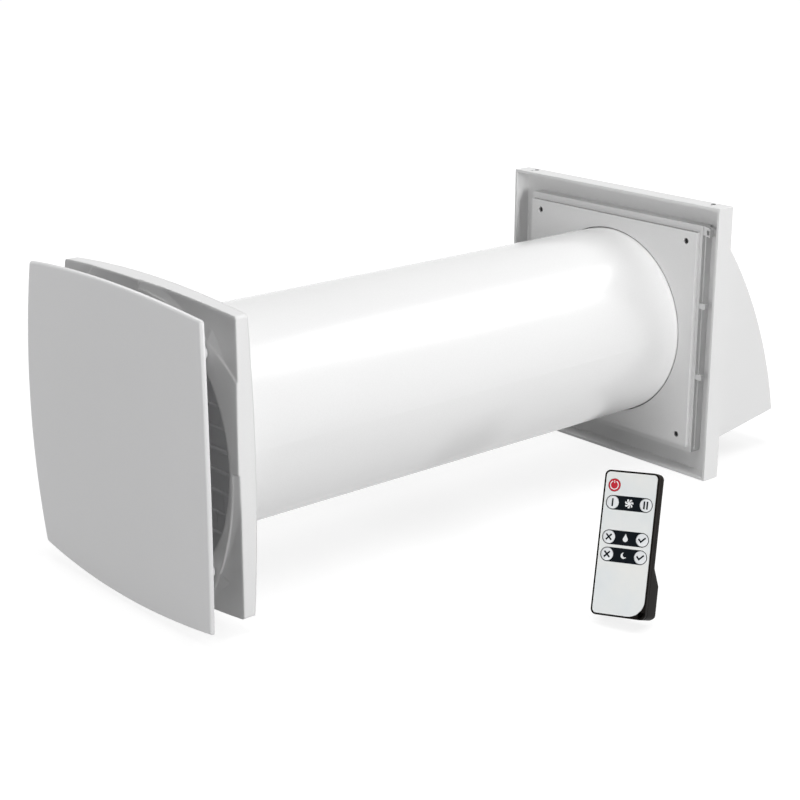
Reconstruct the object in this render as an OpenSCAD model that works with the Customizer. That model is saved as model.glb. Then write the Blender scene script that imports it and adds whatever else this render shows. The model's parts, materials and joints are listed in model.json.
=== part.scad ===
// Single-room heat recovery unit: indoor unit, wall duct with fan and regenerator,
// outdoor plate with hood, and an infrared remote control that stands beside it.
// Frame: the duct axis is the Y axis, the indoor wall face is y = 0, the room is on the -Y side
// and +Z is up. All sizes are in millimetres.

/* [Duct] */
// Outer diameter of the wall duct
duct_d = 160; // [150:1:170]
// Wall thickness of the duct
duct_wall = 3.8; // [3:0.1:5]
// Distance from the indoor wall face to the outdoor plate face
wall_depth = 456.9; // [400:1:700]

/* [Indoor unit] */
// Half width of the housing at its corners
housing_corner = 105.8; // [104:0.1:112]
// How far each side of the housing bows out at its middle
housing_bow = 5.3; // [1:0.1:8]
// Radius of the housing corners
housing_corner_r = 3; // [1:0.5:6]
// Wall thickness of the housing
housing_wall = 2.2; // [1.6:0.1:2.6]
// Height of the raised front above the wall, on the axis
dome_h = 20.6; // [20:0.1:26]
// Radius of the raised front's dome
dome_r = 957; // [850:1:1200]
// Height of the corner land above the wall, on the axis
land_h = 17.2; // [16.5:0.1:18]
// Radius of the corner land's dome
land_r = 1400; // [1200:10:2000]
// Radius of the round opening in the front
opening_r = 101.8; // [99:0.1:103]
// Radius of the four arcs that bound the raised arms
arm_arc_r = 161.5; // [158:0.1:164]
// Distance of each arm arc's centre from the axis
arm_arc_off = 56.5; // [54:0.1:60]
// Offset of the steps between the arms from the centre lines
arm_step = -0.2; // [-2:0.1:3]
// Outer radius of the sloped ring around the opening
slope_r = 113.5; // [112:0.1:114.5]
// Thickness of the back plate
back_plate_t = 2; // [1.6:0.1:2.4]

/* [Front panel] */
// Half width of the front panel at its corners
panel_corner = 107.5; // [104:0.1:109]
// How far each side of the panel bows out at its middle
panel_bow = 3.8; // [2:0.1:8]
// Radius of the panel corners
panel_corner_r = 2; // [1:0.1:6]
// Height of the panel front above the wall, on the axis
panel_h = 47.5; // [44:0.5:60]
// Thickness of the panel skin
panel_t = 2.6; // [2:0.1:3.5]
// Depth of the rim behind the panel front
panel_rim = 4.1; // [3.6:0.1:7]
// Distance of the panel pins from the centre lines
pin_pos = 77; // [75:0.5:79]
// Radius of a panel pin's body
pin_r = 4.6; // [3.5:0.1:5]
// Radius of a panel pin's tip
pin_tip_r = 2.5; // [1.5:0.1:2.8]

/* [Shutter] */
// Number of shutter blades
blade_n = 9; // [9:2:9]
// Height of the fixed covers above and below the blades
cover_h = 21.6; // [20.5:0.1:24]
// Width of the fixed rim between the shutter and the round opening
shutter_rim = 11.8; // [10:0.1:14]
// Distance of the blade hinges in front of the wall
hinge_d = 5.5; // [5.4:0.1:6]
// Radius of a blade's hinge barrel
barrel_r = 1.6; // [1.4:0.1:1.8]
// Radius of a blade's hinge pin
blade_pin_r = 1; // [0.8:0.1:1.3]
// Thickness of a blade
blade_t = 1.4; // [1:0.1:1.6]
// Distance from a blade's hinge to its link pin
crank_r = 5; // [4.5:0.1:5.2]
// Opening angle of the blades
blade_open = 75; // [60:1:75]

/* [Cartridge] */
// Radial gap between cartridge shell and duct
cartridge_gap = 3; // [2.5:0.1:5]
// Wall thickness of the cartridge shell
shell_wall = 7.2; // [5:0.1:9]
// Thickness of a filter
filter_t = 12; // [8:1:12]
// Length of the ceramic regenerator
regenerator_l = 150; // [100:5:160]
// Distance between channels of the regenerator
cell_pitch = 11; // [10:0.5:16]
// Wall between channels of the regenerator
cell_wall = 1.6; // [1:0.1:3]
// Length of the fan frame
fan_l = 38; // [36:1:42]
// Number of fan blades
fan_blades = 7; // [5:1:9]
// Radius of the fan hub
hub_r = 24; // [22:0.5:28]
// Radius of the fan shaft
shaft_r = 1.98; // [1.5:0.01:2.5]
// Length of the flow straightener
straightener_l = 30; // [20:1:32]

/* [Outdoor unit] */
// Width of the hood tray
tray_w = 233; // [228:1:250]
// Height of the hood tray
tray_h = 232; // [228:1:250]
// How far the tray hangs below the duct axis
tray_drop = 1; // [0:0.5:4]
// Depth of the tray's rim
tray_depth = 16.8; // [16:0.1:22]
// Wall thickness of tray and hood
hood_wall = 2.4; // [2:0.1:3]
// Half width of the mounting plate
plate_w = 100.5; // [96:0.5:102]
// Half height of the mounting plate
plate_h = 98; // [96:0.5:102]
// Distance of the screw holes from the centre lines
plate_hole_pos = 83.5; // [80:0.5:86]
// Radius of the screw holes
plate_hole_r = 2.5; // [2:0.1:3.5]
// Width of the hood
hood_w = 180; // [174:1:190]
// Reach of the hood's tip beyond the duct's outdoor end
hood_reach = 104.7; // [95:0.1:120]

/* [Remote control] */
// Width of the remote
remote_w = 40; // [39:0.5:44]
// Length of the remote
remote_l = 100; // [98:0.5:110]
// Thickness of the remote at its upper end
remote_t = 9; // [8.5:0.1:11]
// Thickness of the remote over its battery
remote_grip_t = 19.8; // [19:0.1:22]
// Radius of a key
key_r = 4.4; // [3.5:0.1:4.8]
// Distance between key columns
key_dx = 12.2; // [11:0.1:12.6]
// Distance between key rows
key_dy = 11.9; // [11:0.1:12.5]

/* [Hidden] */
$fn = 96;
// Number of segments of the very large arcs, which are seen only in part
big_fn = 1440;
// Gap between pieces that seat on each other
seat_gap = 0.2;
// Radial clearance of a pin that turns in a bore
run_gap = 0.05;
over = 1;

// Duct and cartridge radii, from the outside inwards
duct_r = duct_d / 2;
duct_in_r = duct_r - duct_wall;
shell_r = duct_in_r - cartridge_gap;
shell_in_r = shell_r - shell_wall;
load_r = shell_in_r - seat_gap;
spigot_r = duct_in_r - 0.4;
spigot_in_r = spigot_r - 2;
spigot_l = 18;

// Places along the duct, from the room to the outside
part_gap = 4;
shell_y0 = spigot_l + 2;
filter_in_y = shell_y0 + part_gap;
regenerator_y = filter_in_y + filter_t + part_gap;
filter_out_y = regenerator_y + regenerator_l + part_gap;
fan_y = filter_out_y + filter_t + part_gap + 2;
straightener_y = fan_y + fan_l + part_gap;
shell_y1 = straightener_y + straightener_l + part_gap;
seal_w = 12;

// Indoor unit
housing_in_corner = housing_corner - housing_wall;
collar_t = 2.2;
collar_back = 4;
slope_rise = 0.45;
screw_angle = 50;
screw_pos_r = 108.5;
screw_r = 1.5;
screw_head_r = 2.6;
screw_head_t = 1.6;
screw_sink = 1.8;
screw_bite = 1;
recess_l = 3;
recess_w = 0.7;
recess_d = 0.8;
boss_r = 3.2;
wall_hole_x = 60;
wall_hole_z = 95;
wall_hole_r = 2.25;
grommet_pos_r = 133;
grommet_r = 6;
cable_hole_r = 3.5;
lead_r = 1;
lead_pos_r = shell_in_r + lead_r + 0.2;
lead_angle = 45;
board_at = [86, -91];
board_size = [29, 20];
lead_end_r = (-board_at[1] - board_size[1] / 2 - 1.8) * sqrt(2);
lead_bend = 3;
slot_w = 3;

// Shutter
shutter_r = opening_r - shutter_rim;
blade_gap = 0.4;
plate_y = hinge_d - 0.3;
top_hinge = shutter_r - cover_h;
// Distance from one blade hinge to the next
blade_pitch = 2 * top_hinge / blade_n;
blade_drop = blade_pitch - barrel_r - 0.3;
crank_half = blade_open / 2;
link_travel = 2 * crank_r * sin(crank_half);
link_w = 2.8;
crank_pin_r = 0.9;
crank_x = 2.4;
crank_t = 1.2;
crank_w = 1.5;
crank_eye_r = 1.5;
filler_d0 = 3.2;
filler_d1 = 6;
frame_r = opening_r - 0.3;
rib_r = barrel_r - 0.1;
pin_in = 3.4;
pod_d = 12.4;
pod_t = 1.2;
flange_d0 = back_plate_t + 0.4;
ring_t = 4;
link_d0 = -1.6;
link_d1 = 3.6;
pod_top = -(top_hinge - 1.5);
arm_z = pod_top - 3.5;
actuator_top = arm_z - 1.8 - link_travel - 0.5;
actuator_bottom = -(shutter_r - 1.7);
actuator_w = 28;
foot_w = 40;
plunger_r = 2;
plunger_d = 7.2;

// Fan
fan_r = load_r;
fan_in_r = fan_r - 2.6;
tip_r = fan_in_r - 1.4;
bearing_r = 4;
bearing_l = 3;
bearing_tube_r = 5.7;
mount_y = fan_y + fan_l - 7;
mount_t = 3;
hub_t = 2.5;
magnet_fit = 0.05;
magnet_t = 1.15;
magnet_inset = 1;
air_gap = 1.3;
core_r = 9;
bush_r = 4.2;
bush_l = 5.5;
camber_r = 40;
blade_sheet = 1.4;
blade_chord = 32;
blade_set = 48;
hub_y0 = fan_y + 4;
hub_y1 = mount_y - 1.5;

// Outdoor unit
plate_y0 = wall_depth;
tray_back = wall_depth + tray_depth;
floor_in = tray_back - hood_wall + 0.2;
plate_t = 3;
plate_step = 0.8;
plate_margin = 5.2;
duct_end = floor_in - 0.6;
duct_hole_r = duct_r + 0.8;
air_hole_r = duct_in_r + 0.8;
clip_z = 30.5;
clip_x = 2.8;
clip_y = 3.6;
clip_h = 4.4;
lug_h = 7.4;
// The hood's side profile is one arc; its centre is given from the tray's outer face and the axis
hood_arc_r = 367.6;
hood_arc_z = -156.3;
hood_tip_z = -85.1;
hood_foot_z = -101;
hood_arc_y = tray_back + hood_reach - sqrt(pow(hood_arc_r, 2) - pow(hood_tip_z - hood_arc_z, 2));

// Remote control
remote_at = [251.6, 206.6, -62.8];
remote_turn = 17.2;
remote_lean = 22.6;
remote_roll = 5.8;
remote_corner_r = 4;
split_z = -4;
overlay_t = 0.8;
bezel = 1.2;
key_proud = 0.3;
key_top_v = remote_l / 2 - 10.4;
key_gap = 0.2;
board_z = -3.6;
grip_v = -14;
grip_full_v = -26;
door_half_w = 14;
door_v1 = -27;
door_t = 1.5;
door_h = 2.8;
cell_r = 5.15;
cell_l = 28.5;
cell_v = -37.5;
cell_z = -11.8;

// ---------- helpers ----------

// Height of a dome's surface at a distance rho from the axis
function cap_h(h, r, rho) = h - r + sqrt(r * r - rho * rho);

// A shape drawn in x and z, filling y0 to y1
module slab(y0, y1) translate([0, y1, 0]) rotate([90, 0, 0]) linear_extrude(height = y1 - y0) children();

// A shape drawn in x and z, filling the distances d0 to d1 in front of the wall
module front_slab(d0, d1) slab(-d1, -d0) children();

// A cylinder along Y
module rod_y(r, y0, y1) translate([0, y0, 0]) rotate([-90, 0, 0]) cylinder(r = r, h = y1 - y0);

// A ring along Y
module ring_y(r_out, r_in, y0, y1) difference() {
    rod_y(r_out, y0, y1);
    rod_y(r_in, y0 - over, y1 + over);
}

// A shape drawn in y and z, filling x0 to x1
module side_slab(x0, x1) translate([x0, 0, 0]) rotate([90, 0, 90]) linear_extrude(height = x1 - x0) children();

// A solid from the wall up to a spherical front of height h on the axis
module dome(h, r, rho) rotate([90, 0, 0]) rotate_extrude($fn = 180)
    intersection() {
        translate([0, h - r]) circle(r = r, $fn = big_fn);
        square([rho, h]);
    }

// A square whose four sides bow outwards and whose corners are rounded
module bowed_square(corner, bow, round_r) {
    side_r = (corner * corner + bow * bow) / (2 * bow);
    k = side_r - corner - bow;
    in_r = side_r - round_r;
    // centre of the corner circle, and where it meets the side arcs
    t = (-k + sqrt(2 * in_r * in_r - k * k)) / 2;
    touch_x = -k + (t + k) * side_r / in_r;
    touch_z = t * side_r / in_r;
    reach = 2;
    difference() {
        intersection_for(i = [0 : 3]) rotate(i * 90) translate([-k, 0]) circle(r = side_r, $fn = big_fn);
        for (i = [0 : 3]) rotate(i * 90) difference() {
            polygon([[touch_x + reach, touch_z - reach], [touch_x + 2 * reach, touch_x + 2 * reach],
                [touch_z - reach, touch_x + reach]]);
            translate([t, t]) circle(r = round_r + 0.1);
        }
    }
}

// ---------- indoor unit ----------

// The panel is a domed skin with a rim; every surface shares the dome's centre
module panel_dome(h, rho) translate([0, over, 0]) dome(h + over, dome_r - dome_h + h, rho);

module front_panel() color([0.83, 0.83, 0.84]) difference() {
    intersection() {
        front_slab(20, 60) bowed_square(panel_corner, panel_bow, panel_corner_r);
        panel_dome(panel_h, 170);
    }
    panel_dome(panel_h - panel_rim, 171);
    intersection() {
        front_slab(19, 60) bowed_square(panel_corner - 2, panel_bow, panel_corner_r - 0.6);
        panel_dome(panel_h - panel_t, 172);
    }
}

pin_rho = pin_pos * sqrt(2);
pin_seat = cap_h(dome_h, dome_r, pin_rho - pin_r) + seat_gap;
pin_tip = cap_h(land_h, land_r, pin_rho) - housing_wall + 0.6;
panel_back_r = dome_r + panel_h - dome_h - panel_t;
module panel_pins() color([0.9, 0.9, 0.9])
    for (sx = [-1, 1], sz = [-1, 1]) translate([sx * pin_pos, 0, sz * pin_pos]) {
        difference() {
            rod_y(pin_r, -cap_h(panel_h - panel_t, panel_back_r, pin_rho - pin_r) + 0, -pin_seat);
            translate([-sx * pin_pos, 0, -sz * pin_pos]) difference() {
                front_slab(20, 60) translate([sx * pin_pos, sz * pin_pos]) square(4 * pin_r, center = true);
                dome(panel_h - panel_t, panel_back_r, 171);
            }
        }
        rod_y(pin_tip_r, -pin_seat - 1, -pin_tip);
    }

// Plan of the four raised arms: in each quadrant the region inside that quadrant's arc
module arms_plan() for (i = [0 : 3]) rotate(i * 90) intersection() {
    translate([arm_step, -arm_step]) square(200);
    translate([0, -arm_arc_off]) circle(r = arm_arc_r, $fn = 720);
}

// Angle from the arm arc's centre at which the facet begins, and at which it ends
facet_start = 28.7;
facet_end = 43.5;
facet_w = 9;
function arc_point(a, r) = [r * sin(a), -arm_arc_off + r * cos(a)];
function rho_of(p) = sqrt(p[0] * p[0] + p[1] * p[1]);

// Ring around the opening that slopes down to the corner land and ends tangent to it
module slope_ring() {
    foot_h = cap_h(land_h, land_r, slope_r);
    intersection() {
        rotate([90, 0, 0]) rotate_extrude($fn = 360)
            polygon([[opening_r - 2, 5], [opening_r - 2, foot_h + 3.2], [slope_r - 2.5, foot_h + slope_rise],
                [slope_r - 1, foot_h + 0.1], [slope_r + 1.5, foot_h - 0.4], [slope_r + 1.5, 5]]);
        dome(dome_h - 0.15, dome_r - 0.15, 170);
    }
}

// Plane facet between the outer end of an arm's ridge and the corner land
module facet() {
    a = arc_point(facet_start, arm_arc_r - 0.5);
    b = arc_point(facet_start, arm_arc_r + facet_w);
    c = arc_point(facet_end, arm_arc_r - 0.5);
    base = 6;
    ha = cap_h(dome_h, dome_r, rho_of(a)) - 0.25;
    hb = cap_h(land_h, land_r, rho_of(b)) + 0.25;
    hc = cap_h(land_h, land_r, rho_of(c)) - 0.1;
    polyhedron(
        points = [[a[0], -base, a[1]], [b[0], -base, b[1]], [c[0], -base, c[1]],
            [a[0], -ha, a[1]], [b[0], -hb, b[1]], [c[0], -hc, c[1]]],
        faces = [[2, 1, 0], [3, 4, 5], [0, 1, 4, 3], [1, 2, 5, 4], [2, 0, 3, 5]]);
}

module indoor_housing() color([0.9, 0.9, 0.9]) difference() {
    intersection() {
        front_slab(0, 30) bowed_square(housing_corner, housing_bow, housing_corner_r);
        union() {
            dome(land_h, land_r, 170);
            intersection() {
                dome(dome_h, dome_r, 170);
                front_slab(4, 30) arms_plan();
            }
            slope_ring();
            for (i = [0 : 3]) rotate([0, -i * 90, 0]) facet();
        }
    }
    // hollow behind the front, outside the collar of the opening
    difference() {
        intersection() {
            front_slab(-over, 30) bowed_square(housing_in_corner, housing_bow, housing_corner_r - 1);
            translate([0, over, 0]) dome(land_h - housing_wall + over, land_r - housing_wall, 170);
        }
        rod_y(opening_r + collar_t, -30, -collar_back);
    }
    rod_y(opening_r, -40, over);
    for (sx = [-1, 1], sz = [-1, 1]) translate([sx * pin_pos, 0, sz * pin_pos])
        rod_y(pin_tip_r + run_gap * 2, -30, -5);
    housing_screw_places() {
        rod_y(screw_r + 0.2, -30, -5);
        rod_y(screw_head_r + 0.2, -30, -screw_seat);
    }
}

screw_seat = cap_h(dome_h, dome_r, screw_pos_r) - screw_sink;
module housing_screw_places() for (a = [screw_angle, screw_angle + 180])
    rotate([0, -a, 0]) translate([screw_pos_r, 0, 0]) children();

module housing_screws() color([0.6, 0.6, 0.62]) housing_screw_places() difference() {
    union() {
        rod_y(screw_r, -screw_seat, -back_plate_t - screw_bite);
        rod_y(screw_head_r, -screw_seat - screw_head_t, -screw_seat);
    }
    // cross recess
    for (a = [0, 90]) rotate([0, a, 0]) translate([-recess_l / 2, -screw_seat - screw_head_t - over, -recess_w / 2])
        cube([recess_l, over + recess_d, recess_w]);
}

module back_plate() color([0.85, 0.85, 0.86]) difference() {
    union() {
        front_slab(0, back_plate_t)
            bowed_square(housing_in_corner - 0.4, housing_bow, housing_corner_r - 1);
        rod_y(spigot_r, -back_plate_t, spigot_l);
        housing_screw_places() rod_y(boss_r, -screw_seat + 3.4, -back_plate_t);
        board_posts();
    }
    rod_y(spigot_in_r, -10, spigot_l + over);
    housing_screw_places() rod_y(screw_r + run_gap, -screw_seat, -back_plate_t - screw_bite + 0.2);
    for (sx = [-1, 1], sz = [-1, 1]) translate([sx * wall_hole_x, 0, sz * wall_hole_z])
        rod_y(wall_hole_r, -10, over);
    rotate([0, -135, 0]) translate([grommet_pos_r, 0, 0]) rod_y(grommet_r - 1.5, -10, over);
    // channel for the fan lead
    rotate([0, lead_angle, 0]) translate([spigot_in_r - 2, -back_plate_t - over, -slot_w / 2])
        cube([lead_end_r - spigot_in_r + 3, back_plate_t + 2 * over, slot_w]);
}

board_t = 1.2;
post_h = 0.8;
board_d = back_plate_t + post_h;
module board_posts() for (sx = [-1, 1], sz = [-1, 1])
    translate([board_at[0] + sx * (board_size[0] / 2 - 2.5), 0, board_at[1] + sz * (board_size[1] / 2 - 2.5)])
        rod_y(1.6, -board_d, -back_plate_t);

module control_board() color([0.1, 0.4, 0.2]) translate([board_at[0], 0, board_at[1]]) {
    front_slab(board_d, board_d + board_t) square(board_size, center = true);
    // relay, controller, connector and receiver on the board
    front_slab(board_d + board_t, board_d + board_t + 2.4) translate([-10, 2]) square([7, 11], center = true);
    front_slab(board_d + board_t, board_d + board_t + 1) translate([1, 3]) square([8, 8], center = true);
    front_slab(board_d + board_t, board_d + board_t + 2) translate([9, 5]) square([5, 6], center = true);
    front_slab(board_d + board_t, board_d + board_t + 1.6) translate([4, -6]) square([14, 2.6], center = true);
    translate([-9, 0, -7]) rod_y(1.8, -board_d - board_t - 1.6, -board_d - board_t);
}

module power_module() color([0.15, 0.15, 0.16]) rotate([0, 135, 0]) translate([127, 0, 0]) {
    front_slab(back_plate_t, back_plate_t + 4.6) square([12, 26], center = true);
    front_slab(back_plate_t + 4.6, back_plate_t + 5.1) square([9, 22], center = true);
}

module terminal_block() color([0.92, 0.92, 0.9]) rotate([0, -135, 0]) translate([116, 0, 0])
    difference() {
        front_slab(back_plate_t, back_plate_t + 7) square([10, 24], center = true);
        for (i = [-1.5 : 1 : 1.5]) translate([0, 0, i * 5.6]) {
            rod_y(1.8, -back_plate_t - 8, -back_plate_t - 4);
            translate([2, -back_plate_t - 4, -1.4]) cube([5, 2.6, 2.8]);
        }
    }

module humidity_sensor() color([0.1, 0.3, 0.5]) rotate([0, -42, 0]) translate([127, 0, 0]) {
    front_slab(back_plate_t, back_plate_t + 1) square([9, 14], center = true);
    front_slab(back_plate_t + 1, back_plate_t + 2.2) square([3, 3], center = true);
}

module cable_grommet() color([0.2, 0.2, 0.2]) rotate([0, -135, 0]) translate([grommet_pos_r, 0, 0])
    difference() {
        union() {
            rod_y(grommet_r - 1.5, -back_plate_t, 0);
            rod_y(grommet_r, -back_plate_t - 1.2, -back_plate_t);
        }
        rod_y(cable_hole_r, -10, over);
    }

// ---------- shutter ----------

function hinge_z(i) = top_hinge - i * blade_pitch;
// Half length of the blade in the band below hinge i
function blade_half(i) = sqrt(pow(shutter_r, 2)
    - pow(max(abs(hinge_z(i) + barrel_r), abs(hinge_z(i) - blade_drop)), 2)) - 1;

// Half length of the blade's hinge pin
function pin_half(i) = blade_half(i) + blade_gap + pin_in;
// Fixed rib from x0 out to the rim on both sides, at the height z
module rib(x0, z) for (sx = [0, 1]) mirror([sx, 0, 0]) translate([x0, -hinge_d, z]) rotate([0, 90, 0])
    cylinder(r = rib_r, h = sqrt(pow(frame_r - 1, 2) - z * z) - x0, $fn = 48);

module shutter_frame() color([0.82, 0.82, 0.82]) difference() {
    union() {
        ring_y(shutter_r + ring_t, shutter_r, -filler_d1 + 0.4, -flange_d0);
        ring_y(opening_r + collar_t - 0.3, shutter_r, -collar_back + 0.1, -flange_d0);
        // plate around the stepped opening that the blades close
        front_slab(filler_d0, filler_d1) difference() {
            circle(r = frame_r);
            for (i = [0 : blade_n - 1]) translate([-blade_half(i) - blade_gap, hinge_z(i) - blade_drop - 0.3])
                square([2 * (blade_half(i) + blade_gap), blade_pitch]);
            // room for the actuator under the pod
            intersection() {
                circle(r = shutter_r + 1);
                translate([-shutter_r, -shutter_r - 2]) square([2 * shutter_r, shutter_r + 2.5 + pod_top]);
            }
            // room for the top cranks and the end of the link
            translate([-crank_x - crank_t, top_hinge + 1]) square([2 * (crank_x + crank_t), link_top - top_hinge]);
        }
        for (i = [0 : blade_n - 1]) rib(blade_half(i) + blade_gap, hinge_z(i));
        rib(crank_x + crank_t + 1, top_hinge + blade_pitch);
        // pod in front of the actuator, with its curved wall and its top wall
        front_slab(pod_d - pod_t, pod_d) pod_plan(shutter_r + 1);
        front_slab(flange_d0, pod_d) difference() {
            pod_plan(shutter_r + ring_t - 0.2);
            circle(r = shutter_r + 0.2);
        }
        front_slab(4.6, pod_d) intersection() {
            circle(r = shutter_r + 1);
            translate([-shutter_r, pod_top - 3.2]) square([2 * shutter_r, 3.2]);
        }
    }
    for (i = [0 : blade_n - 1]) translate([-pin_half(i) - 0.3, -hinge_d, hinge_z(i)]) rotate([0, 90, 0])
        cylinder(r = blade_pin_r + run_gap, h = 2 * (pin_half(i) + 0.3), $fn = 48);
}

// Plan of the pod: the part of a disc below the pod's top
module pod_plan(r) intersection() {
    circle(r = r);
    translate([-2 * shutter_r, -2 * shutter_r]) square([4 * shutter_r, 2 * shutter_r + pod_top]);
}

module shutter_blade(i) color([0.72, 0.72, 0.73]) {
    half = blade_half(i);
    translate([0, -hinge_d, hinge_z(i)]) {
        translate([-half, 0, 0]) rotate([0, 90, 0]) cylinder(r = barrel_r, h = 2 * half, $fn = 48);
        translate([-pin_half(i), 0, 0]) rotate([0, 90, 0]) cylinder(r = blade_pin_r, h = 2 * pin_half(i), $fn = 48);
        translate([-half, hinge_d - plate_y - blade_t / 2, -blade_drop]) cube([2 * half, blade_t, blade_drop]);
        // two cranks with the link pin between them
        for (sx = [-1, 1]) side_slab(sx * crank_x - crank_t / 2, sx * crank_x + crank_t / 2) rotate(crank_half) {
            translate([0, -crank_w / 2]) square([crank_r, crank_w]);
            translate([crank_r, 0]) circle(r = crank_eye_r, $fn = 32);
        }
        rotate([crank_half, 0, 0]) translate([-crank_x + 0.2, crank_r, 0]) rotate([0, 90, 0])
            cylinder(r = crank_pin_r, h = 2 * crank_x - 0.4, $fn = 32);
    }
}
module shutter_blade_1() shutter_blade(0);
module shutter_blade_2() shutter_blade(1);
module shutter_blade_3() shutter_blade(2);
module shutter_blade_4() shutter_blade(3);
module shutter_blade_5() shutter_blade(4);
module shutter_blade_6() shutter_blade(5);
module shutter_blade_7() shutter_blade(6);
module shutter_blade_8() shutter_blade(7);
module shutter_blade_9() shutter_blade(8);

pin_z_up = crank_r * sin(crank_half);
link_top = hinge_z(0) + pin_z_up + 1.6;
link_bottom = hinge_z(blade_n - 1) - 13;
module shutter_link() color([0.35, 0.35, 0.37]) difference() {
    front_slab(link_d0, link_d1) translate([-link_w / 2, link_bottom]) square([link_w, link_top - link_bottom]);
    // slots that let the link pins swing
    for (i = [0 : blade_n - 1]) translate([0, -hinge_d + crank_r * cos(crank_half / 2 * 1.2), hinge_z(i) + pin_z_up])
        translate([-link_w, -1.7, -crank_pin_r - 0.25]) cube([2 * link_w, 3.1, 2 * crank_pin_r + 0.5]);
}

module shutter_actuator() color([0.9, 0.9, 0.86]) difference() {
    union() {
        front_slab(back_plate_t + 0.5, pod_d - pod_t - 0.1)
            translate([-actuator_w / 2, actuator_bottom]) square([actuator_w, actuator_top - actuator_bottom]);
        // foot that rests against the pod
        front_slab(pod_d - pod_t - 2, pod_d - pod_t)
            translate([-foot_w / 2, actuator_bottom + 3]) square([foot_w, actuator_top - actuator_bottom - 5]);
    }
    translate([0, -plunger_d, actuator_bottom + 1]) cylinder(r = plunger_r + 0.06, h = 30);
}

module actuator_plunger() color([0.75, 0.76, 0.78]) {
    translate([0, -plunger_d, arm_z - 1.8 - 8.5]) cylinder(r = plunger_r, h = 8.5 + 1.8);
    front_slab(link_d1, plunger_d) translate([-2, arm_z - 1.8]) square([4, 1.8]);
    front_slab(link_d1, link_d1 + 0.6) translate([-link_w / 2, arm_z - 1.8])
        square([link_w, link_bottom + 5 - arm_z + 1.8]);
}

// ---------- duct and cartridge ----------

module duct_tube() color([0.97, 0.97, 0.97]) ring_y(duct_r, duct_in_r, 0, duct_end);

module cartridge_half() difference() {
    ring_y(shell_r, shell_in_r, shell_y0, shell_y1);
    translate([-200, 0, -400]) cube([400, shell_y1 + 20, 400]);
}
module cartridge_shell_top() color([0.35, 0.36, 0.38]) cartridge_half();
module cartridge_shell_bottom() color([0.33, 0.34, 0.36]) difference() {
    translate([0, 0, -seat_gap / 2]) mirror([0, 0, 1]) cartridge_half();
    // groove for the fan lead
    rotate([0, lead_angle, 0]) translate([lead_pos_r - 3, shell_y0 - over, -lead_r - 0.2])
        cube([3 + lead_r + 0.2, fan_y - shell_y0 + 6, 2 * lead_r + 0.4]);
}

module seal_rings() color([0.2, 0.2, 0.21])
    for (y = [shell_y0 + 10, shell_y1 - 10 - seal_w]) ring_y(duct_in_r - 0.1, shell_r + 0.1, y, y + seal_w);

pleat_n = 16;
module filter_unit(y0) {
    ring_y(load_r, load_r - 3, y0, y0 + filter_t);
    media_r = load_r - 2.5;
    pitch = 2 * media_r / pleat_n;
    intersection() {
        rod_y(media_r, y0, y0 + filter_t);
        // pleated sheet, drawn in x and y and extruded along z
        translate([0, 0, -media_r]) linear_extrude(height = 2 * media_r) polygon(concat(
            [for (i = [0 : 2 * pleat_n]) [-media_r + i * pitch / 2, y0 + (i % 2 == 0 ? 0.5 : filter_t - 2)]],
            [for (i = [2 * pleat_n : -1 : 0]) [-media_r + i * pitch / 2, y0 + (i % 2 == 0 ? 2 : filter_t - 0.5)]]));
    }
}
module filter_indoor() color([0.9, 0.92, 0.94]) filter_unit(filter_in_y);
module filter_outdoor() color([0.9, 0.92, 0.94]) filter_unit(filter_out_y);

module regenerator() color([0.86, 0.82, 0.74]) {
    channel = cell_pitch - cell_wall;
    cells = floor(load_r / cell_pitch);
    slab(regenerator_y, regenerator_y + regenerator_l) difference() {
        circle(r = load_r);
        for (i = [-cells : cells], j = [-cells : cells])
            if (norm([abs(i) * cell_pitch + channel / 2, abs(j) * cell_pitch + channel / 2]) < load_r - cell_wall)
                translate([i * cell_pitch, j * cell_pitch]) square(channel, center = true);
    }
}

module fan_frame() color([0.12, 0.12, 0.13]) difference() {
    union() {
        ring_y(fan_r, fan_in_r, fan_y, fan_y + fan_l);
        rod_y(hub_r, mount_y, mount_y + mount_t);
        for (a = [0 : 90 : 270]) rotate([0, a + 20, 0])
            translate([hub_r - 2, mount_y, -2]) cube([fan_in_r - hub_r + 3, mount_t, 4]);
        rod_y(bearing_tube_r, hub_y0 + 8, mount_y + over);
    }
    rod_y(bearing_r + run_gap, hub_y0 + 8 - over, mount_y + mount_t - 1);
}

module motor_stator() color([0.7, 0.4, 0.2]) {
    y0 = hub_y0 + 10;
    y1 = mount_y - 1.5;
    stator_r = hub_r - hub_t - magnet_fit - magnet_t - air_gap;
    difference() {
        union() {
            rod_y(core_r, y0, y1);
            for (a = [0 : 40 : 320]) rotate([0, a, 0]) {
                translate([core_r - 1, y0 + 2, -1.5]) cube([stator_r - core_r - 1, y1 - y0 - 4, 3]);
                translate([core_r + 1, y0 + 0.5, -2.6]) cube([stator_r - core_r - 4.5, y1 - y0 - 1, 5.2]);
            }
            for (a = [0 : 40 : 320]) rotate([0, a, 0]) intersection() {
                ring_y(stator_r, stator_r - 2, y0 + 2, y1 - 2);
                translate([0, y0, -5]) cube([hub_r, y1 - y0, 10]);
            }
        }
        rod_y(bearing_tube_r + 0.1, y0 - over, y1 + over);
    }
}

module magnet_ring() color([0.3, 0.3, 0.32])
    ring_y(hub_r - hub_t - magnet_fit, hub_r - hub_t - magnet_fit - magnet_t, hub_y0 + hub_t + 4,
        hub_y1 - magnet_inset);

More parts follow.
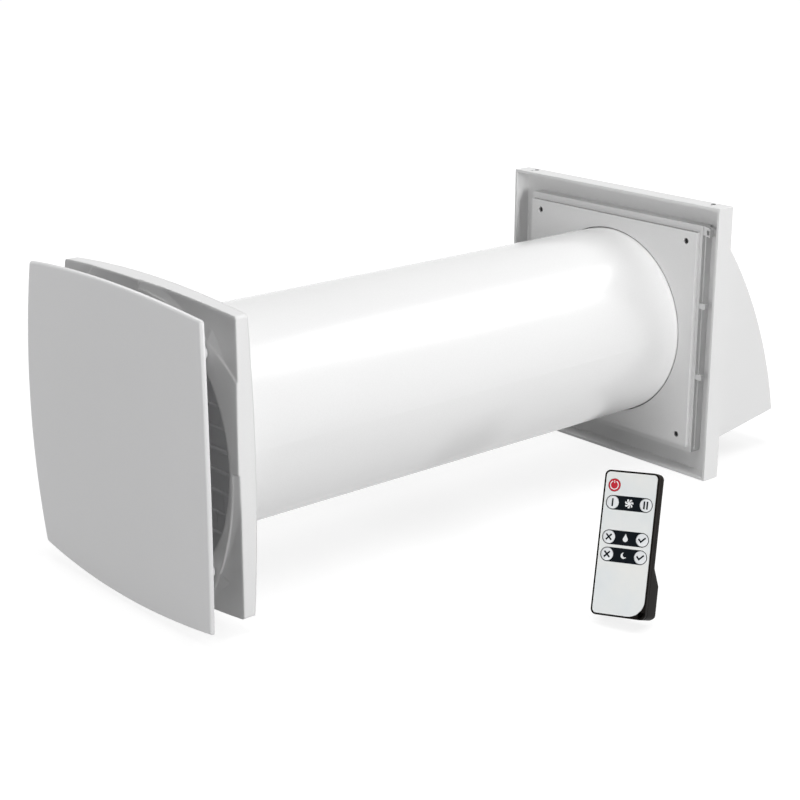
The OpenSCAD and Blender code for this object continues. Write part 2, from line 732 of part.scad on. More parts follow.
module impeller() color([0.15, 0.15, 0.16]) {
    ring_y(hub_r, hub_r - hub_t, hub_y0, hub_y1);
    difference() {
        rod_y(hub_r - 1, hub_y0, hub_y0 + hub_t);
        rod_y(shaft_r, hub_y0 - over, hub_y1);
    }
    ring_y(bush_r, shaft_r, hub_y0 + 1, hub_y0 + 1 + bush_l);
    for (i = [0 : fan_blades - 1]) rotate([0, i * 360 / fan_blades, 0]) intersection() {
        ring_y(tip_r, hub_r - 1, hub_y0 + 2, hub_y1 - 2);
        // cambered sheet whose axis points outwards, set at the blade angle
        translate([0, (hub_y0 + hub_y1) / 2, 0]) rotate([blade_set, 0, 0]) translate([hub_r - 4, camber_r - 3, 0])
            rotate([0, 90, 0]) intersection() {
                difference() {
                    cylinder(r = camber_r, h = tip_r - hub_r + 8);
                    translate([0, 0, -over]) cylinder(r = camber_r - blade_sheet, h = tip_r - hub_r + 12);
                }
                translate([-blade_chord / 2, -camber_r - over, -over]) cube([blade_chord, 12, tip_r]);
            }
    }
}

module fan_shaft() color([0.75, 0.76, 0.78]) rod_y(shaft_r - 0.02, hub_y0, mount_y + mount_t - 2);

module fan_bearings() color([0.7, 0.71, 0.73]) for (y = [hub_y0 + 9, mount_y - bearing_l - 1])
    ring_y(bearing_r, shaft_r, y, y + bearing_l);

module flow_straightener() color([0.88, 0.88, 0.88]) {
    y0 = straightener_y;
    y1 = straightener_y + straightener_l;
    ring_y(load_r, load_r - 2.5, y0, y1);
    ring_y(26, 24, y0, y1);
    for (a = [0 : 30 : 330]) rotate([0, a, 0]) translate([25, y0 + 2, -0.75]) cube([load_r - 26.5, y1 - y0 - 4, 1.5]);
}

// Lead from the fan along the shell's groove and the back plate's channel to the board
module fan_lead() color([0.15, 0.15, 0.15]) rotate([0, lead_angle, 0]) {
    bend_y = lead_bend - back_plate_t / 2;
    translate([lead_pos_r, 0, 0]) rod_y(lead_r, bend_y, fan_y + 2);
    translate([lead_pos_r + lead_bend, bend_y, 0]) rotate([0, 0, 180]) rotate_extrude(angle = 90, $fn = 48)
        translate([lead_bend, 0]) circle(r = lead_r, $fn = 32);
    translate([lead_pos_r + lead_bend, -back_plate_t / 2, 0]) rotate([0, 90, 0])
        cylinder(r = lead_r, h = lead_end_r - 3 - lead_pos_r - lead_bend, $fn = 32);
    translate([lead_end_r - 4, -back_plate_t, -1.3]) cube([4, back_plate_t, 2.6]);
}

// ---------- outdoor unit ----------

module box_frame(half_x, half_z, t) difference() {
    square([2 * half_x, 2 * half_z], center = true);
    square([2 * (half_x - t), 2 * (half_z - t)], center = true);
}

module mounting_plate() color([0.86, 0.86, 0.86]) difference() {
    union() {
        slab(plate_y0, plate_y0 + plate_t) box_frame(plate_w, plate_h, plate_margin);
        slab(plate_y0 + plate_step, plate_y0 + plate_step + plate_t) square(2 * [plate_w, plate_h], center = true);
        slab(plate_y0 + plate_step, floor_in - seat_gap) box_frame(plate_w, plate_h, 2.4);
        rod_y(duct_hole_r + 2.5, plate_y0 + plate_step, floor_in - 3);
        for (sx = [-1, 1], sz = [-1, 1]) translate([sx * plate_hole_pos, 0, sz * plate_hole_pos])
            rod_y(plate_hole_r + 2.5, plate_y0 + plate_step, plate_y0 + 9);
        // side clips
        for (sx = [0, 1], sz = [-1, 1]) mirror([sx, 0, 0])
            translate([plate_w - 1.5, plate_y0 + 0.6, sz * clip_z - clip_h / 2]) cube([clip_x + 1.5, clip_y, clip_h]);
        // corner lug with a window
        translate([plate_w - 1.5, plate_y0 + 0.6, plate_h - 0.4 - lug_h]) difference() {
            cube([clip_x + 2.2, clip_y + 1, lug_h]);
            translate([1.8, -over, lug_h / 2 - 2]) cube([2.6, clip_y + 4, 4]);
        }
    }
    rod_y(duct_hole_r, plate_y0 - over, floor_in + over);
    for (sx = [-1, 1], sz = [-1, 1]) translate([sx * plate_hole_pos, 0, sz * plate_hole_pos])
        rod_y(plate_hole_r, plate_y0 - over, plate_y0 + 12);
}

// Side profile of the hood, drawn in y and z; t shrinks it inwards
module hood_profile(t) intersection() {
    translate([hood_arc_y, hood_arc_z]) circle(r = hood_arc_r - t, $fn = big_fn);
    polygon([[tray_back - over - t, hood_foot_z - (t > 0 ? 60 : 0)], [tray_back - over - t, 200],
        [tray_back + hood_reach + 60, 200], [tray_back + hood_reach + 60, hood_tip_z + 8.7 - (t > 0 ? 60 : 0)],
        [tray_back + hood_reach, hood_tip_z - (t > 0 ? 60 : 0)]]);
}

module outer_hood() color([0.93, 0.93, 0.93]) difference() {
    union() {
        translate([0, 0, -tray_drop]) {
            slab(wall_depth, tray_back) box_frame(tray_w / 2, tray_h / 2, hood_wall);
            slab(floor_in, tray_back) square([tray_w - 1, tray_h - 1], center = true);
        }
        difference() {
            side_slab(-hood_w / 2, hood_w / 2) hood_profile(0);
            side_slab(-hood_w / 2 + hood_wall, hood_w / 2 - hood_wall) intersection() {
                hood_profile(hood_wall);
                translate([tray_back, -300]) square([300, 600]);
            }
        }
    }
    rod_y(air_hole_r, floor_in - over, tray_back + over);
    for (sx = [-1, 1]) translate([sx * 102, wall_depth + 6.4, tray_h / 2 - 6]) cylinder(r = 1.5, h = 10, $fn = 32);
}

grille_r = air_hole_r + 3;
grille_pitch = 18;
module outdoor_grille() color([0.8, 0.8, 0.8]) slab(tray_back + 0.1, tray_back + 2.9) {
    difference() {
        circle(r = grille_r);
        circle(r = grille_r - 4);
    }
    intersection() {
        circle(r = grille_r - 1);
        for (i = [-3 : 3]) translate([0, i * grille_pitch]) square([2 * grille_r, 2], center = true);
    }
}

// ---------- remote control, drawn with its face up and its length along Y ----------

module remote_place() translate(remote_at) rotate([0, 0, remote_turn]) rotate([90 - remote_lean, 0, 0])
    rotate([0, 0, remote_roll]) children();

module rounded_rect(w, l, r) {
    square([w - 2 * r, l], center = true);
    square([w, l - 2 * r], center = true);
    for (sx = [-1, 1], sy = [-1, 1]) translate([sx * (w / 2 - r), sy * (l / 2 - r)]) circle(r = r, $fn = 48);
}

// Face field of the overlay: its lower right corner has a large radius
module overlay_shape(inset) difference() {
    rounded_rect(remote_w - 2 * bezel - 2 * inset, remote_l - 2 * bezel - 2 * inset, 3);
    translate([remote_w / 2 - bezel - inset, -remote_l / 2 + bezel + inset]) difference() {
        translate([-12, 0]) square([12.1, 12]);
        translate([-12, 12]) circle(r = 12, $fn = 64);
    }
}

function key_at(col, row) = [col * key_dx, key_top_v - row * key_dy];
KEYS = [[-1, 0], [-1, 1], [1, 1], [-1, 3], [1, 3], [-1, 4], [1, 4]];

module key_holes(r) for (k = KEYS) translate(key_at(k[0], k[1])) circle(r = r, $fn = 64);

module remote_front_shell() color([0.05, 0.05, 0.05]) remote_place() difference() {
    translate([0, 0, split_z + 0.1]) linear_extrude(height = -split_z - 0.1)
        rounded_rect(remote_w, remote_l, remote_corner_r);
    translate([0, 0, -overlay_t]) linear_extrude(height = over + overlay_t) overlay_shape(0);
    translate([0, 0, split_z]) linear_extrude(height = 2) rounded_rect(remote_w - 3.2, remote_l - 3.2, 3);
    translate([0, 0, split_z]) linear_extrude(height = 10) key_holes(key_r + key_gap);
    translate([remote_w / 2 - 3.4, -remote_l / 2 + 3.6, -1.2]) cylinder(r = 1.3, h = 5, $fn = 32);
    translate([0, remote_l / 2 + over, -2.8]) rotate([90, 0, 0]) cylinder(r = 1.6, h = 5, $fn = 32);
}

module remote_back_outline(t) polygon([[-remote_l / 2 + t, split_z - 0.05 + (t > 0 ? 1 : 0)],
    [-remote_l / 2 + t, -remote_grip_t + 2.5 + t], [-remote_l / 2 + 2.5 + t, -remote_grip_t + t],
    [grip_full_v - t / 2, -remote_grip_t + t], [grip_v - t / 2, -remote_t + t], [remote_l / 2 - t, -remote_t + t],
    [remote_l / 2 - t, split_z - 0.05 + (t > 0 ? 1 : 0)]]);

// Space of the battery door in the back; inset leaves its running gap
module door_space(inset) translate([-door_half_w + inset, -remote_l / 2 - over, -remote_grip_t - over])
    cube([2 * (door_half_w - inset), door_v1 + remote_l / 2 + over - inset, over + door_h - inset]);

module remote_back_shell() color([0.06, 0.06, 0.06]) remote_place() difference() {
    intersection() {
        side_slab(-remote_w / 2, remote_w / 2) remote_back_outline(0);
        translate([0, 0, -40]) linear_extrude(height = 50) rounded_rect(remote_w, remote_l, remote_corner_r);
    }
    intersection() {
        side_slab(-remote_w / 2 + 1.6, remote_w / 2 - 1.6) remote_back_outline(1.6);
        translate([0, 0, -40]) linear_extrude(height = 50) rounded_rect(remote_w - 3.2, remote_l - 3.2, 3);
    }
    // opening that the battery door closes, down to the lower end
    door_space(0);
}

module remote_overlay() color([0.8, 0.82, 0.83]) remote_place() translate([0, 0, -overlay_t + 0.02])
    linear_extrude(height = overlay_t - 0.02) difference() {
        overlay_shape(0.1);
        key_holes(key_r + key_gap);
    }

module remote_key(i, tone) color(tone) remote_place() translate(key_at(KEYS[i][0], KEYS[i][1])) {
    translate([0, 0, -1.7]) cylinder(r = key_r, h = 1.7 + key_proud, $fn = 64);
    translate([0, 0, board_z + 0.95]) cylinder(r = 1.6, h = -board_z - 0.95 - 1.6, $fn = 32);
}
module remote_key_power() remote_key(0, [0.8, 0.05, 0.15]);
module remote_key_speed_1() remote_key(1, [0.85, 0.86, 0.87]);
module remote_key_speed_2() remote_key(2, [0.85, 0.86, 0.87]);
module remote_key_humidity_off() remote_key(3, [0.85, 0.86, 0.87]);
module remote_key_humidity_on() remote_key(4, [0.85, 0.86, 0.87]);
module remote_key_night_off() remote_key(5, [0.85, 0.86, 0.87]);
module remote_key_night_on() remote_key(6, [0.85, 0.86, 0.87]);

module remote_board() color([0.1, 0.35, 0.2]) remote_place() {
    translate([0, 0, split_z]) linear_extrude(height = -split_z + board_z)
        rounded_rect(remote_w - 3.4, remote_l - 3.4, 3);
    translate([0, 8, split_z - 1.2]) linear_extrude(height = 1.3) square([8, 8], center = true);
}

module remote_ir_led() color([0.2, 0.05, 0.1]) remote_place() translate([0, remote_l / 2 - 3.8, -2.6])
    rotate([-90, 0, 0]) {
        cylinder(r = 0.95, h = 2.8, $fn = 32);
        translate([0, 0, 2.8]) sphere(r = 0.95, $fn = 32);
    }

module remote_indicator() color([0.3, 0.02, 0.03]) remote_place()
    translate([remote_w / 2 - 3.4, -remote_l / 2 + 3.6, -1.2]) cylinder(r = 1.25, h = 1, $fn = 32);

module remote_battery() color([0.7, 0.6, 0.2]) remote_place() translate([-cell_l / 2, cell_v, cell_z])
    rotate([0, 90, 0]) {
        cylinder(r = cell_r, h = cell_l - 1.5, $fn = 64);
        translate([0, 0, cell_l - 1.5]) cylinder(r = 2, h = 1.5, $fn = 32);
    }

module remote_contacts() color([0.8, 0.8, 0.8]) remote_place() for (sx = [-1, 1])
    translate([sx * (cell_l / 2 + 0.5) - 0.2, cell_v - 4, split_z - 10]) cube([0.4, 8, 10]);

module remote_battery_door() color([0.07, 0.07, 0.07]) remote_place() difference() {
    intersection() {
        side_slab(-remote_w / 2, remote_w / 2) remote_back_outline(0);
        door_space(0.1);
    }
    side_slab(-remote_w / 2, remote_w / 2) remote_back_outline(door_t);
}

// ---------- all nodes ----------

front_panel();
panel_pins();
indoor_housing();
back_plate();
housing_screws();
shutter_frame();
shutter_blade_1();
shutter_blade_2();
shutter_blade_3();
shutter_blade_4();
shutter_blade_5();
shutter_blade_6();
shutter_blade_7();
shutter_blade_8();
shutter_blade_9();
shutter_link();
shutter_actuator();
actuator_plunger();
control_board();
power_module();
terminal_block();
humidity_sensor();
cable_grommet();
duct_tube();
cartridge_shell_top();
cartridge_shell_bottom();
seal_rings();
filter_indoor();
filter_outdoor();
regenerator();
fan_frame();
motor_stator();
magnet_ring();
impeller();
fan_shaft();
fan_bearings();
flow_straightener();
fan_lead();
mounting_plate();
outer_hood();
outdoor_grille();
remote_front_shell();
remote_back_shell();
remote_overlay();
remote_key_power();
remote_key_speed_1();
remote_key_speed_2();
remote_key_humidity_off();
remote_key_humidity_on();
remote_key_night_off();
remote_key_night_on();
remote_board();
remote_ir_led();
remote_indicator();
remote_battery();
remote_contacts();
remote_battery_door();
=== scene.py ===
import json
import math
import bmesh
import bpy
from mathutils import Matrix, Vector


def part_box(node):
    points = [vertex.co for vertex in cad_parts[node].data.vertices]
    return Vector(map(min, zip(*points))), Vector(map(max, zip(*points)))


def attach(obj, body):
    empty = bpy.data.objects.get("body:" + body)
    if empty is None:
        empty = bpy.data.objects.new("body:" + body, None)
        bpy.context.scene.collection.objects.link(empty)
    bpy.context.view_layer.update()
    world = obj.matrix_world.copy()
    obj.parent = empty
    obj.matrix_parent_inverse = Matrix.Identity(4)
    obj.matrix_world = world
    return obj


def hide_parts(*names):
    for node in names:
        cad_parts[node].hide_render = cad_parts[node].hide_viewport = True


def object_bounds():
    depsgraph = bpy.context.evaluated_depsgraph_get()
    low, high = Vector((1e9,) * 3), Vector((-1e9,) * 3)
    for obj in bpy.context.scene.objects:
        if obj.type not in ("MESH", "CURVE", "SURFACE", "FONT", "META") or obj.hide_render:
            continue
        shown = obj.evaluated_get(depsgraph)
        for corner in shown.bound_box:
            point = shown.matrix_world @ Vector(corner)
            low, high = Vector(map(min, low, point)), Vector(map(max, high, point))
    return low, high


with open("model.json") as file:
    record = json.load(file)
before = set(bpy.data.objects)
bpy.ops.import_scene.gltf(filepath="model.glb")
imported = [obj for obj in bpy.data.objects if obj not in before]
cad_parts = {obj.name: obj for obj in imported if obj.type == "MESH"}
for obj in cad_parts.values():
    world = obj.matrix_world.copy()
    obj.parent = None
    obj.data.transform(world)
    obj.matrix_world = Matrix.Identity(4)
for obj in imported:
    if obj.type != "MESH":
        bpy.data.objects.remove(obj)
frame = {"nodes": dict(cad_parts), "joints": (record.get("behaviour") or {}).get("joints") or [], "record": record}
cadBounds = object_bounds()
nodes = frame["nodes"]
joints = {joint["name"]: joint for joint in frame["joints"]}
print("frame loaded,", len(nodes), "nodes")

cameraView = {
    "place": (0.979133, -0.623368, 0.394338),
    "turn": 49.2492,      # degrees to the right of straight at the front
    "rise": 17.9369,
    "roll": 0.0782,
    "lens": 77.706,
    "sensor": 36.0,
    "clip": (0.05, 50),
}


def addCamera(view):
    data = bpy.data.cameras.new("photoCamera")
    data.lens = view["lens"]
    data.sensor_width = view["sensor"]
    data.clip_start, data.clip_end = view["clip"]
    camera = bpy.data.objects.new("photoCamera", data)
    bpy.context.scene.collection.objects.link(camera)
    turn = Matrix.Rotation(math.radians(view["turn"]), 4, "Z")
    tilt = Matrix.Rotation(math.radians(90 - view["rise"]), 4, "X")
    roll = Matrix.Rotation(math.radians(view["roll"]), 4, "Z")
    camera.matrix_world = Matrix.Translation(view["place"]) @ turn @ tilt @ roll
    bpy.context.scene.camera = camera


addCamera(cameraView)
print("camera placed")


def addNode(tree, kind, **values):
    node = tree.nodes.new(kind)
    for name, value in values.items():
        setattr(node, name, value)
    return node


def setInputs(node, **values):
    for name, value in values.items():
        node.inputs[name.replace("_", " ")].default_value = value


def mixColours(tree, factor, first, second, blend="MIX"):
    mix = addNode(tree, "ShaderNodeMix", data_type="RGBA", blend_type=blend)
    inputs = (mix.inputs[0], factor), (mix.inputs[6], first), (mix.inputs[7], second)
    for socket, source in inputs:
        if isinstance(source, bpy.types.NodeSocket):
            tree.links.new(source, socket)
        else:
            socket.default_value = source
    return mix.outputs[2]


def mapValue(tree, source, low, high, fromLow=0.0, fromHigh=1.0):
    node = addNode(tree, "ShaderNodeMapRange")
    tree.links.new(source, node.inputs["Value"])
    setInputs(node, From_Min=fromLow, From_Max=fromHigh)
    for name, value in (("To Min", low), ("To Max", high)):
        if isinstance(value, bpy.types.NodeSocket):
            tree.links.new(value, node.inputs[name])
        else:
            node.inputs[name].default_value = value
    return node.outputs["Result"]


def colour(tone):
    return (*tone, 1.0)


# Sockets of the node groups that hold no plain number
socketKinds = {
    "Tone": "NodeSocketColor", "Shade": "NodeSocketColor", "Pore": "NodeSocketColor",
    "Colour": "NodeSocketColor", "Stretch": "NodeSocketVector",
}


def newGroup(name, inputs, outputs):
    group = bpy.data.node_groups.new(name, "ShaderNodeTree")
    for direction, labels in (("INPUT", inputs), ("OUTPUT", outputs)):
        for label in labels:
            group.interface.new_socket(name=label, in_out=direction,
                                       socket_type=socketKinds.get(label, "NodeSocketFloat"))
    inside = group.nodes.new("NodeGroupInput")
    outside = group.nodes.new("NodeGroupOutput")
    place = group.nodes.new("ShaderNodeTexCoord")
    return group, inside.outputs, outside.inputs, place.outputs["Object"]


# A span is the part of a noise that is spread over the whole range
mouldedNoise = {
    "grain": (3.0, 0.6), "clouds": (4.0, 0.55),      # detail and roughness
    "cloudSpan": (0.35, 0.65), "grainSpan": (0.3, 0.7), "glossSpan": (0.3, 0.7),
    "grainShade": 0.97,
}


def buildMouldedGroup(noise):
    # Moulded plastic: fine spark-eroded grain, and slow clouds in tone and gloss
    inputs = "Tone", "Shade", "Grain Scale", "Cloud Scale", "Gloss Low", "Gloss High"
    group, inside, outside, place = newGroup(
        "mouldedSurface", inputs, ("Colour", "Roughness", "Height"))
    grain, clouds = addNode(group, "ShaderNodeTexNoise"), addNode(group, "ShaderNodeTexNoise")
    for texture, (detail, roughness), name in ((grain, noise["grain"], "Grain Scale"),
                                               (clouds, noise["clouds"], "Cloud Scale")):
        setInputs(texture, Detail=detail, Roughness=roughness)
        group.links.new(place, texture.inputs["Vector"])
        group.links.new(inside[name], texture.inputs["Scale"])
    cloudMask = mapValue(group, clouds.outputs["Fac"], 0.0, 1.0, *noise["cloudSpan"])
    tone = mixColours(group, cloudMask, inside["Shade"], inside["Tone"])
    grainMask = mapValue(group, grain.outputs["Fac"], noise["grainShade"], 1.0, *noise["grainSpan"])
    group.links.new(mixColours(group, 1.0, tone, grainMask, "MULTIPLY"), outside["Colour"])
    gloss = mapValue(group, clouds.outputs["Fac"], inside["Gloss Low"], inside["Gloss High"],
                     *noise["glossSpan"])
    group.links.new(gloss, outside["Roughness"])
    group.links.new(grain.outputs["Fac"], outside["Height"])
    return group


streakNoise = {"detail": 3.0, "roughness": 0.6, "span": (0.3, 0.7), "gloss": (0.24, 0.42)}


def buildStreakGroup(noise):
    # Drawn or turned metal: streaks that run along one axis
    group, inside, outside, place = newGroup(
        "streakedMetal", ("Tone", "Shade", "Stretch"), ("Colour", "Roughness", "Height"))
    stretch = addNode(group, "ShaderNodeVectorMath", operation="MULTIPLY")
    group.links.new(place, stretch.inputs[0])
    group.links.new(inside["Stretch"], stretch.inputs[1])
    streaks = addNode(group, "ShaderNodeTexNoise")
    setInputs(streaks, Scale=1.0, Detail=noise["detail"], Roughness=noise["roughness"])
    group.links.new(stretch.outputs["Vector"], streaks.inputs["Vector"])
    mask = mapValue(group, streaks.outputs["Fac"], 0.0, 1.0, *noise["span"])
    group.links.new(mixColours(group, mask, inside["Shade"], inside["Tone"]), outside["Colour"])
    gloss = mapValue(group, streaks.outputs["Fac"], *noise["gloss"], *noise["span"])
    group.links.new(gloss, outside["Roughness"])
    group.links.new(streaks.outputs["Fac"], outside["Height"])
    return group


porousNoise = {
    "cloudDetail": 4.0, "cloudScale": 25.0, "cloudSpan": (0.3, 0.7), "cloudShade": 0.88,
    "cellSpan": (0.15, 0.6),
}


def buildPorousGroup(noise):
    # Foam, felt and fired clay: open cells of one size, and slow clouds in tone
    group, inside, outside, place = newGroup(
        "porousBody", ("Tone", "Pore", "Cell Scale"), ("Colour", "Height"))
    cells = addNode(group, "ShaderNodeTexVoronoi", feature="F1")
    clouds = addNode(group, "ShaderNodeTexNoise")
    setInputs(clouds, Detail=noise["cloudDetail"], Scale=noise["cloudScale"])
    for texture in (cells, clouds):
        group.links.new(place, texture.inputs["Vector"])
    group.links.new(inside["Cell Scale"], cells.inputs["Scale"])
    mask = mapValue(group, cells.outputs["Distance"], 0.0, 1.0, *noise["cellSpan"])
    tone = mixColours(group, mask, inside["Pore"], inside["Tone"])
    shade = mapValue(group, clouds.outputs["Fac"], noise["cloudShade"], 1.0, *noise["cloudSpan"])
    group.links.new(mixColours(group, 1.0, tone, shade, "MULTIPLY"), outside["Colour"])
    group.links.new(cells.outputs["Distance"], outside["Height"])
    return group


mouldedGroup = buildMouldedGroup(mouldedNoise)
streakGroup = buildStreakGroup(streakNoise)
porousGroup = buildPorousGroup(porousNoise)
# Height of the bumps in metres, where a finish doesn't give its own
bumpDepth = {"moulded": 0.00005, "metal": 0.00003, "board": 0.00005}
mouldedDefaults = {
    "clouds": 14.0, "ior": 1.46, "shine": 0.5, "coat": 0.0, "coatRoughness": 0.1,
    "roundSamples": 6,
}


def newMaterial(name):
    material = bpy.data.materials.new(name)
    material.use_nodes = True
    tree = material.node_tree
    tree.nodes.clear()
    output = tree.nodes.new("ShaderNodeOutputMaterial")
    return material, tree, output


def newFinish(name):
    material, tree, output = newMaterial(name)
    shader = tree.nodes.new("ShaderNodeBsdfPrincipled")
    tree.links.new(shader.outputs["BSDF"], output.inputs["Surface"])
    return material, tree, shader


def groupFinish(name, group, values):
    material, tree, shader = newFinish(name)
    node = addNode(tree, "ShaderNodeGroup", node_tree=group)
    for label, value in values.items():
        node.inputs[label].default_value = value
    tree.links.new(node.outputs["Colour"], shader.inputs["Base Color"])
    if "Roughness" in node.outputs:
        tree.links.new(node.outputs["Roughness"], shader.inputs["Roughness"])
    return material, tree, shader, node.outputs["Height"]


def addBump(tree, shader, height, strength, distance):
    bump = tree.nodes.new("ShaderNodeBump")
    setInputs(bump, Strength=strength, Distance=distance)
    tree.links.new(height, bump.inputs["Height"])
    tree.links.new(bump.outputs["Normal"], shader.inputs["Normal"])
    return bump


def mouldedFinish(name, ownValues):
    values = {**mouldedDefaults, **ownValues}
    material, tree, shader, height = groupFinish(name, mouldedGroup, {
        "Tone": colour(values["tone"]), "Shade": colour(values["shade"]),
        "Grain Scale": values["grain"], "Cloud Scale": values["clouds"],
        "Gloss Low": values["gloss"][0], "Gloss High": values["gloss"][1]})
    bump = addBump(tree, shader, height, values["bump"], bumpDepth["moulded"])
    if "round" in values:
        # Edges that look rounded to this radius, where the mesh is sharp
        rounded = addNode(tree, "ShaderNodeBevel", samples=values["roundSamples"])
        setInputs(rounded, Radius=values["round"])
        tree.links.new(rounded.outputs["Normal"], bump.inputs["Normal"])
    setInputs(shader, IOR=values["ior"], Specular_IOR_Level=values["shine"],
              Coat_Weight=values["coat"], Coat_Roughness=values["coatRoughness"])
    return material


def metalFinish(name, values):
    material, tree, shader, height = groupFinish(name, streakGroup, {
        "Tone": colour(values["tone"]), "Shade": colour(values["shade"]),
        "Stretch": values["stretch"]})
    addBump(tree, shader, height, values["bump"], bumpDepth["metal"])
    shader.inputs["Metallic"].default_value = values["metal"]
    return material


def porousFinish(name, values):
    material, tree, shader, height = groupFinish(name, porousGroup, {
        "Tone": colour(values["tone"]), "Pore": colour(values["pore"]),
        "Cell Scale": values["cells"]})
    addBump(tree, shader, height, values["bump"], values["depth"])
    shader.inputs["Roughness"].default_value = values["rough"]
    return material


def boardFinish(name, values):
    # Solder mask with conductor lines under it and bare pads
    material, tree, shader = newFinish(name)
    place = tree.nodes.new("ShaderNodeTexCoord")
    lines = addNode(tree, "ShaderNodeTexBrick", offset=values["offset"])
    setInputs(lines, Scale=values["lines"], Mortar_Size=values["gap"], Brick_Width=values["width"],
              Row_Height=values["row"])
    tree.links.new(place.outputs["Object"], lines.inputs["Vector"])
    tone = mixColours(tree, lines.outputs["Fac"], colour(values["tone"]), colour(values["line"]))
    tree.links.new(tone, shader.inputs["Base Color"])
    gloss = mapValue(tree, lines.outputs["Fac"], *values["gloss"])
    tree.links.new(gloss, shader.inputs["Roughness"])
    addBump(tree, shader, lines.outputs["Fac"], values["bump"], bumpDepth["board"])
    return material


def makeFinishes(build, sets):
    return {name: build(name, values) for name, values in sets.items()}


mouldedSets = {
    "panelWhite": {
        "tone": (0.7, 0.7, 0.705), "shade": (0.69, 0.69, 0.695), "grain": 1500.0,
        "gloss": (0.34, 0.42), "bump": 0.12},
    "housingWhite": {
        "tone": (0.75, 0.75, 0.75), "shade": (0.74, 0.74, 0.74), "grain": 1500.0,
        "gloss": (0.3, 0.4), "bump": 0.1},
    "innerGrey": {
        "tone": (0.62, 0.62, 0.63), "shade": (0.6, 0.6, 0.61), "grain": 1300.0,
        "gloss": (0.45, 0.55), "bump": 0.15},
    "ductWhite": {
        "tone": (0.8, 0.8, 0.8), "shade": (0.796, 0.796, 0.796), "grain": 900.0, "clouds": 7.0,
        "gloss": (0.25, 0.27), "bump": 0.04, "coat": 0.3, "coatRoughness": 0.18},
    "plateWhite": {
        "tone": (0.77, 0.77, 0.77), "shade": (0.76, 0.76, 0.76), "grain": 1200.0,
        "gloss": (0.38, 0.48), "bump": 0.15},
    # Painted shade: a darker grey for the up-facing step at the top of the plate's raised middle, where shade
    # falls under the tray
    "stepShadeGrey": {
        "tone": (0.34, 0.34, 0.34), "shade": (0.31, 0.31, 0.31), "grain": 1200.0,
        "gloss": (0.5, 0.6), "bump": 0.2},
    "blackPlastic": {
        "tone": (0.009, 0.007, 0.0055), "shade": (0.006, 0.005, 0.0045), "grain": 1400.0,
        "gloss": (0.34, 0.46), "bump": 0.3, "shine": 0.05, "ior": 1.3},
    "overlayFilm": {
        "tone": (0.76, 0.765, 0.745), "shade": (0.69, 0.72, 0.73), "grain": 4200.0, "clouds": 28.0,
        "gloss": (0.36, 0.46), "bump": 0.12},
    "keyWhite": {
        "tone": (0.75, 0.76, 0.77), "shade": (0.71, 0.73, 0.75), "grain": 3000.0,
        "gloss": (0.32, 0.42), "bump": 0.1},
    "keyRed": {
        "tone": (0.5, 0.006, 0.022), "shade": (0.45, 0.005, 0.02), "grain": 3000.0,
        "gloss": (0.32, 0.42), "bump": 0.1, "shine": 0.25},
    "printBlack": {
        "tone": (0.006, 0.009, 0.012), "shade": (0.005, 0.007, 0.01), "grain": 3000.0,
        "gloss": (0.36, 0.46), "bump": 0.05, "shine": 0.05, "ior": 1.3},
    "printWhite": {
        "tone": (0.78, 0.79, 0.8), "shade": (0.72, 0.73, 0.74), "grain": 3000.0,
        "gloss": (0.36, 0.46), "bump": 0.05},
    "darkLens": {
        "tone": (0.07, 0.002, 0.004), "shade": (0.05, 0.001, 0.003), "grain": 900.0,
        "gloss": (0.08, 0.14), "bump": 0.0, "ior": 1.5},
    "rubberGrey": {
        "tone": (0.035, 0.035, 0.037), "shade": (0.028, 0.028, 0.03), "grain": 1000.0,
        "gloss": (0.6, 0.75), "bump": 0.3},
}
mouldedSets["housingRound"] = dict(mouldedSets["housingWhite"], round=0.0022)
metalSets = {
    "steel": {
        "tone": (0.62, 0.63, 0.64), "shade": (0.45, 0.46, 0.47), "stretch": (2600.0, 90.0, 2600.0),
        "metal": 1.0, "bump": 0.15},
    "copperWire": {
        "tone": (0.6, 0.24, 0.09), "shade": (0.34, 0.11, 0.04), "stretch": (500.0, 5200.0, 500.0),
        "metal": 0.9, "bump": 0.6},
    "magnetGrey": {
        "tone": (0.16, 0.16, 0.17), "shade": (0.09, 0.09, 0.1), "stretch": (900.0, 900.0, 900.0),
        "metal": 0.8, "bump": 0.3},
}
porousSets = {
    "foamGrey": {
        "tone": (0.085, 0.09, 0.097), "pore": (0.03, 0.032, 0.035), "cells": 900.0,
        "bump": 0.6, "depth": 0.0004, "rough": 0.92},
    "filterFelt": {
        "tone": (0.75, 0.79, 0.82), "pore": (0.38, 0.42, 0.46), "cells": 1400.0,
        "bump": 0.7, "depth": 0.0005, "rough": 0.95},
    "firedClay": {
        "tone": (0.72, 0.61, 0.46), "pore": (0.6, 0.5, 0.37), "cells": 2200.0,
        "bump": 0.35, "depth": 0.0001, "rough": 0.8},
}
boardSets = {
    "circuitBoard": {
        "tone": (0.012, 0.1, 0.045), "line": (0.04, 0.2, 0.09), "lines": 260.0, "offset": 0.5,
        "gap": 0.06, "width": 1.6, "row": 0.35, "gloss": (0.32, 0.24), "bump": 0.25},
}
finishes = {
    **makeFinishes(mouldedFinish, mouldedSets), **makeFinishes(metalFinish, metalSets),
    **makeFinishes(porousFinish, porousSets), **makeFinishes(boardFinish, boardSets),
}
print("finishes made:", len(finishes))

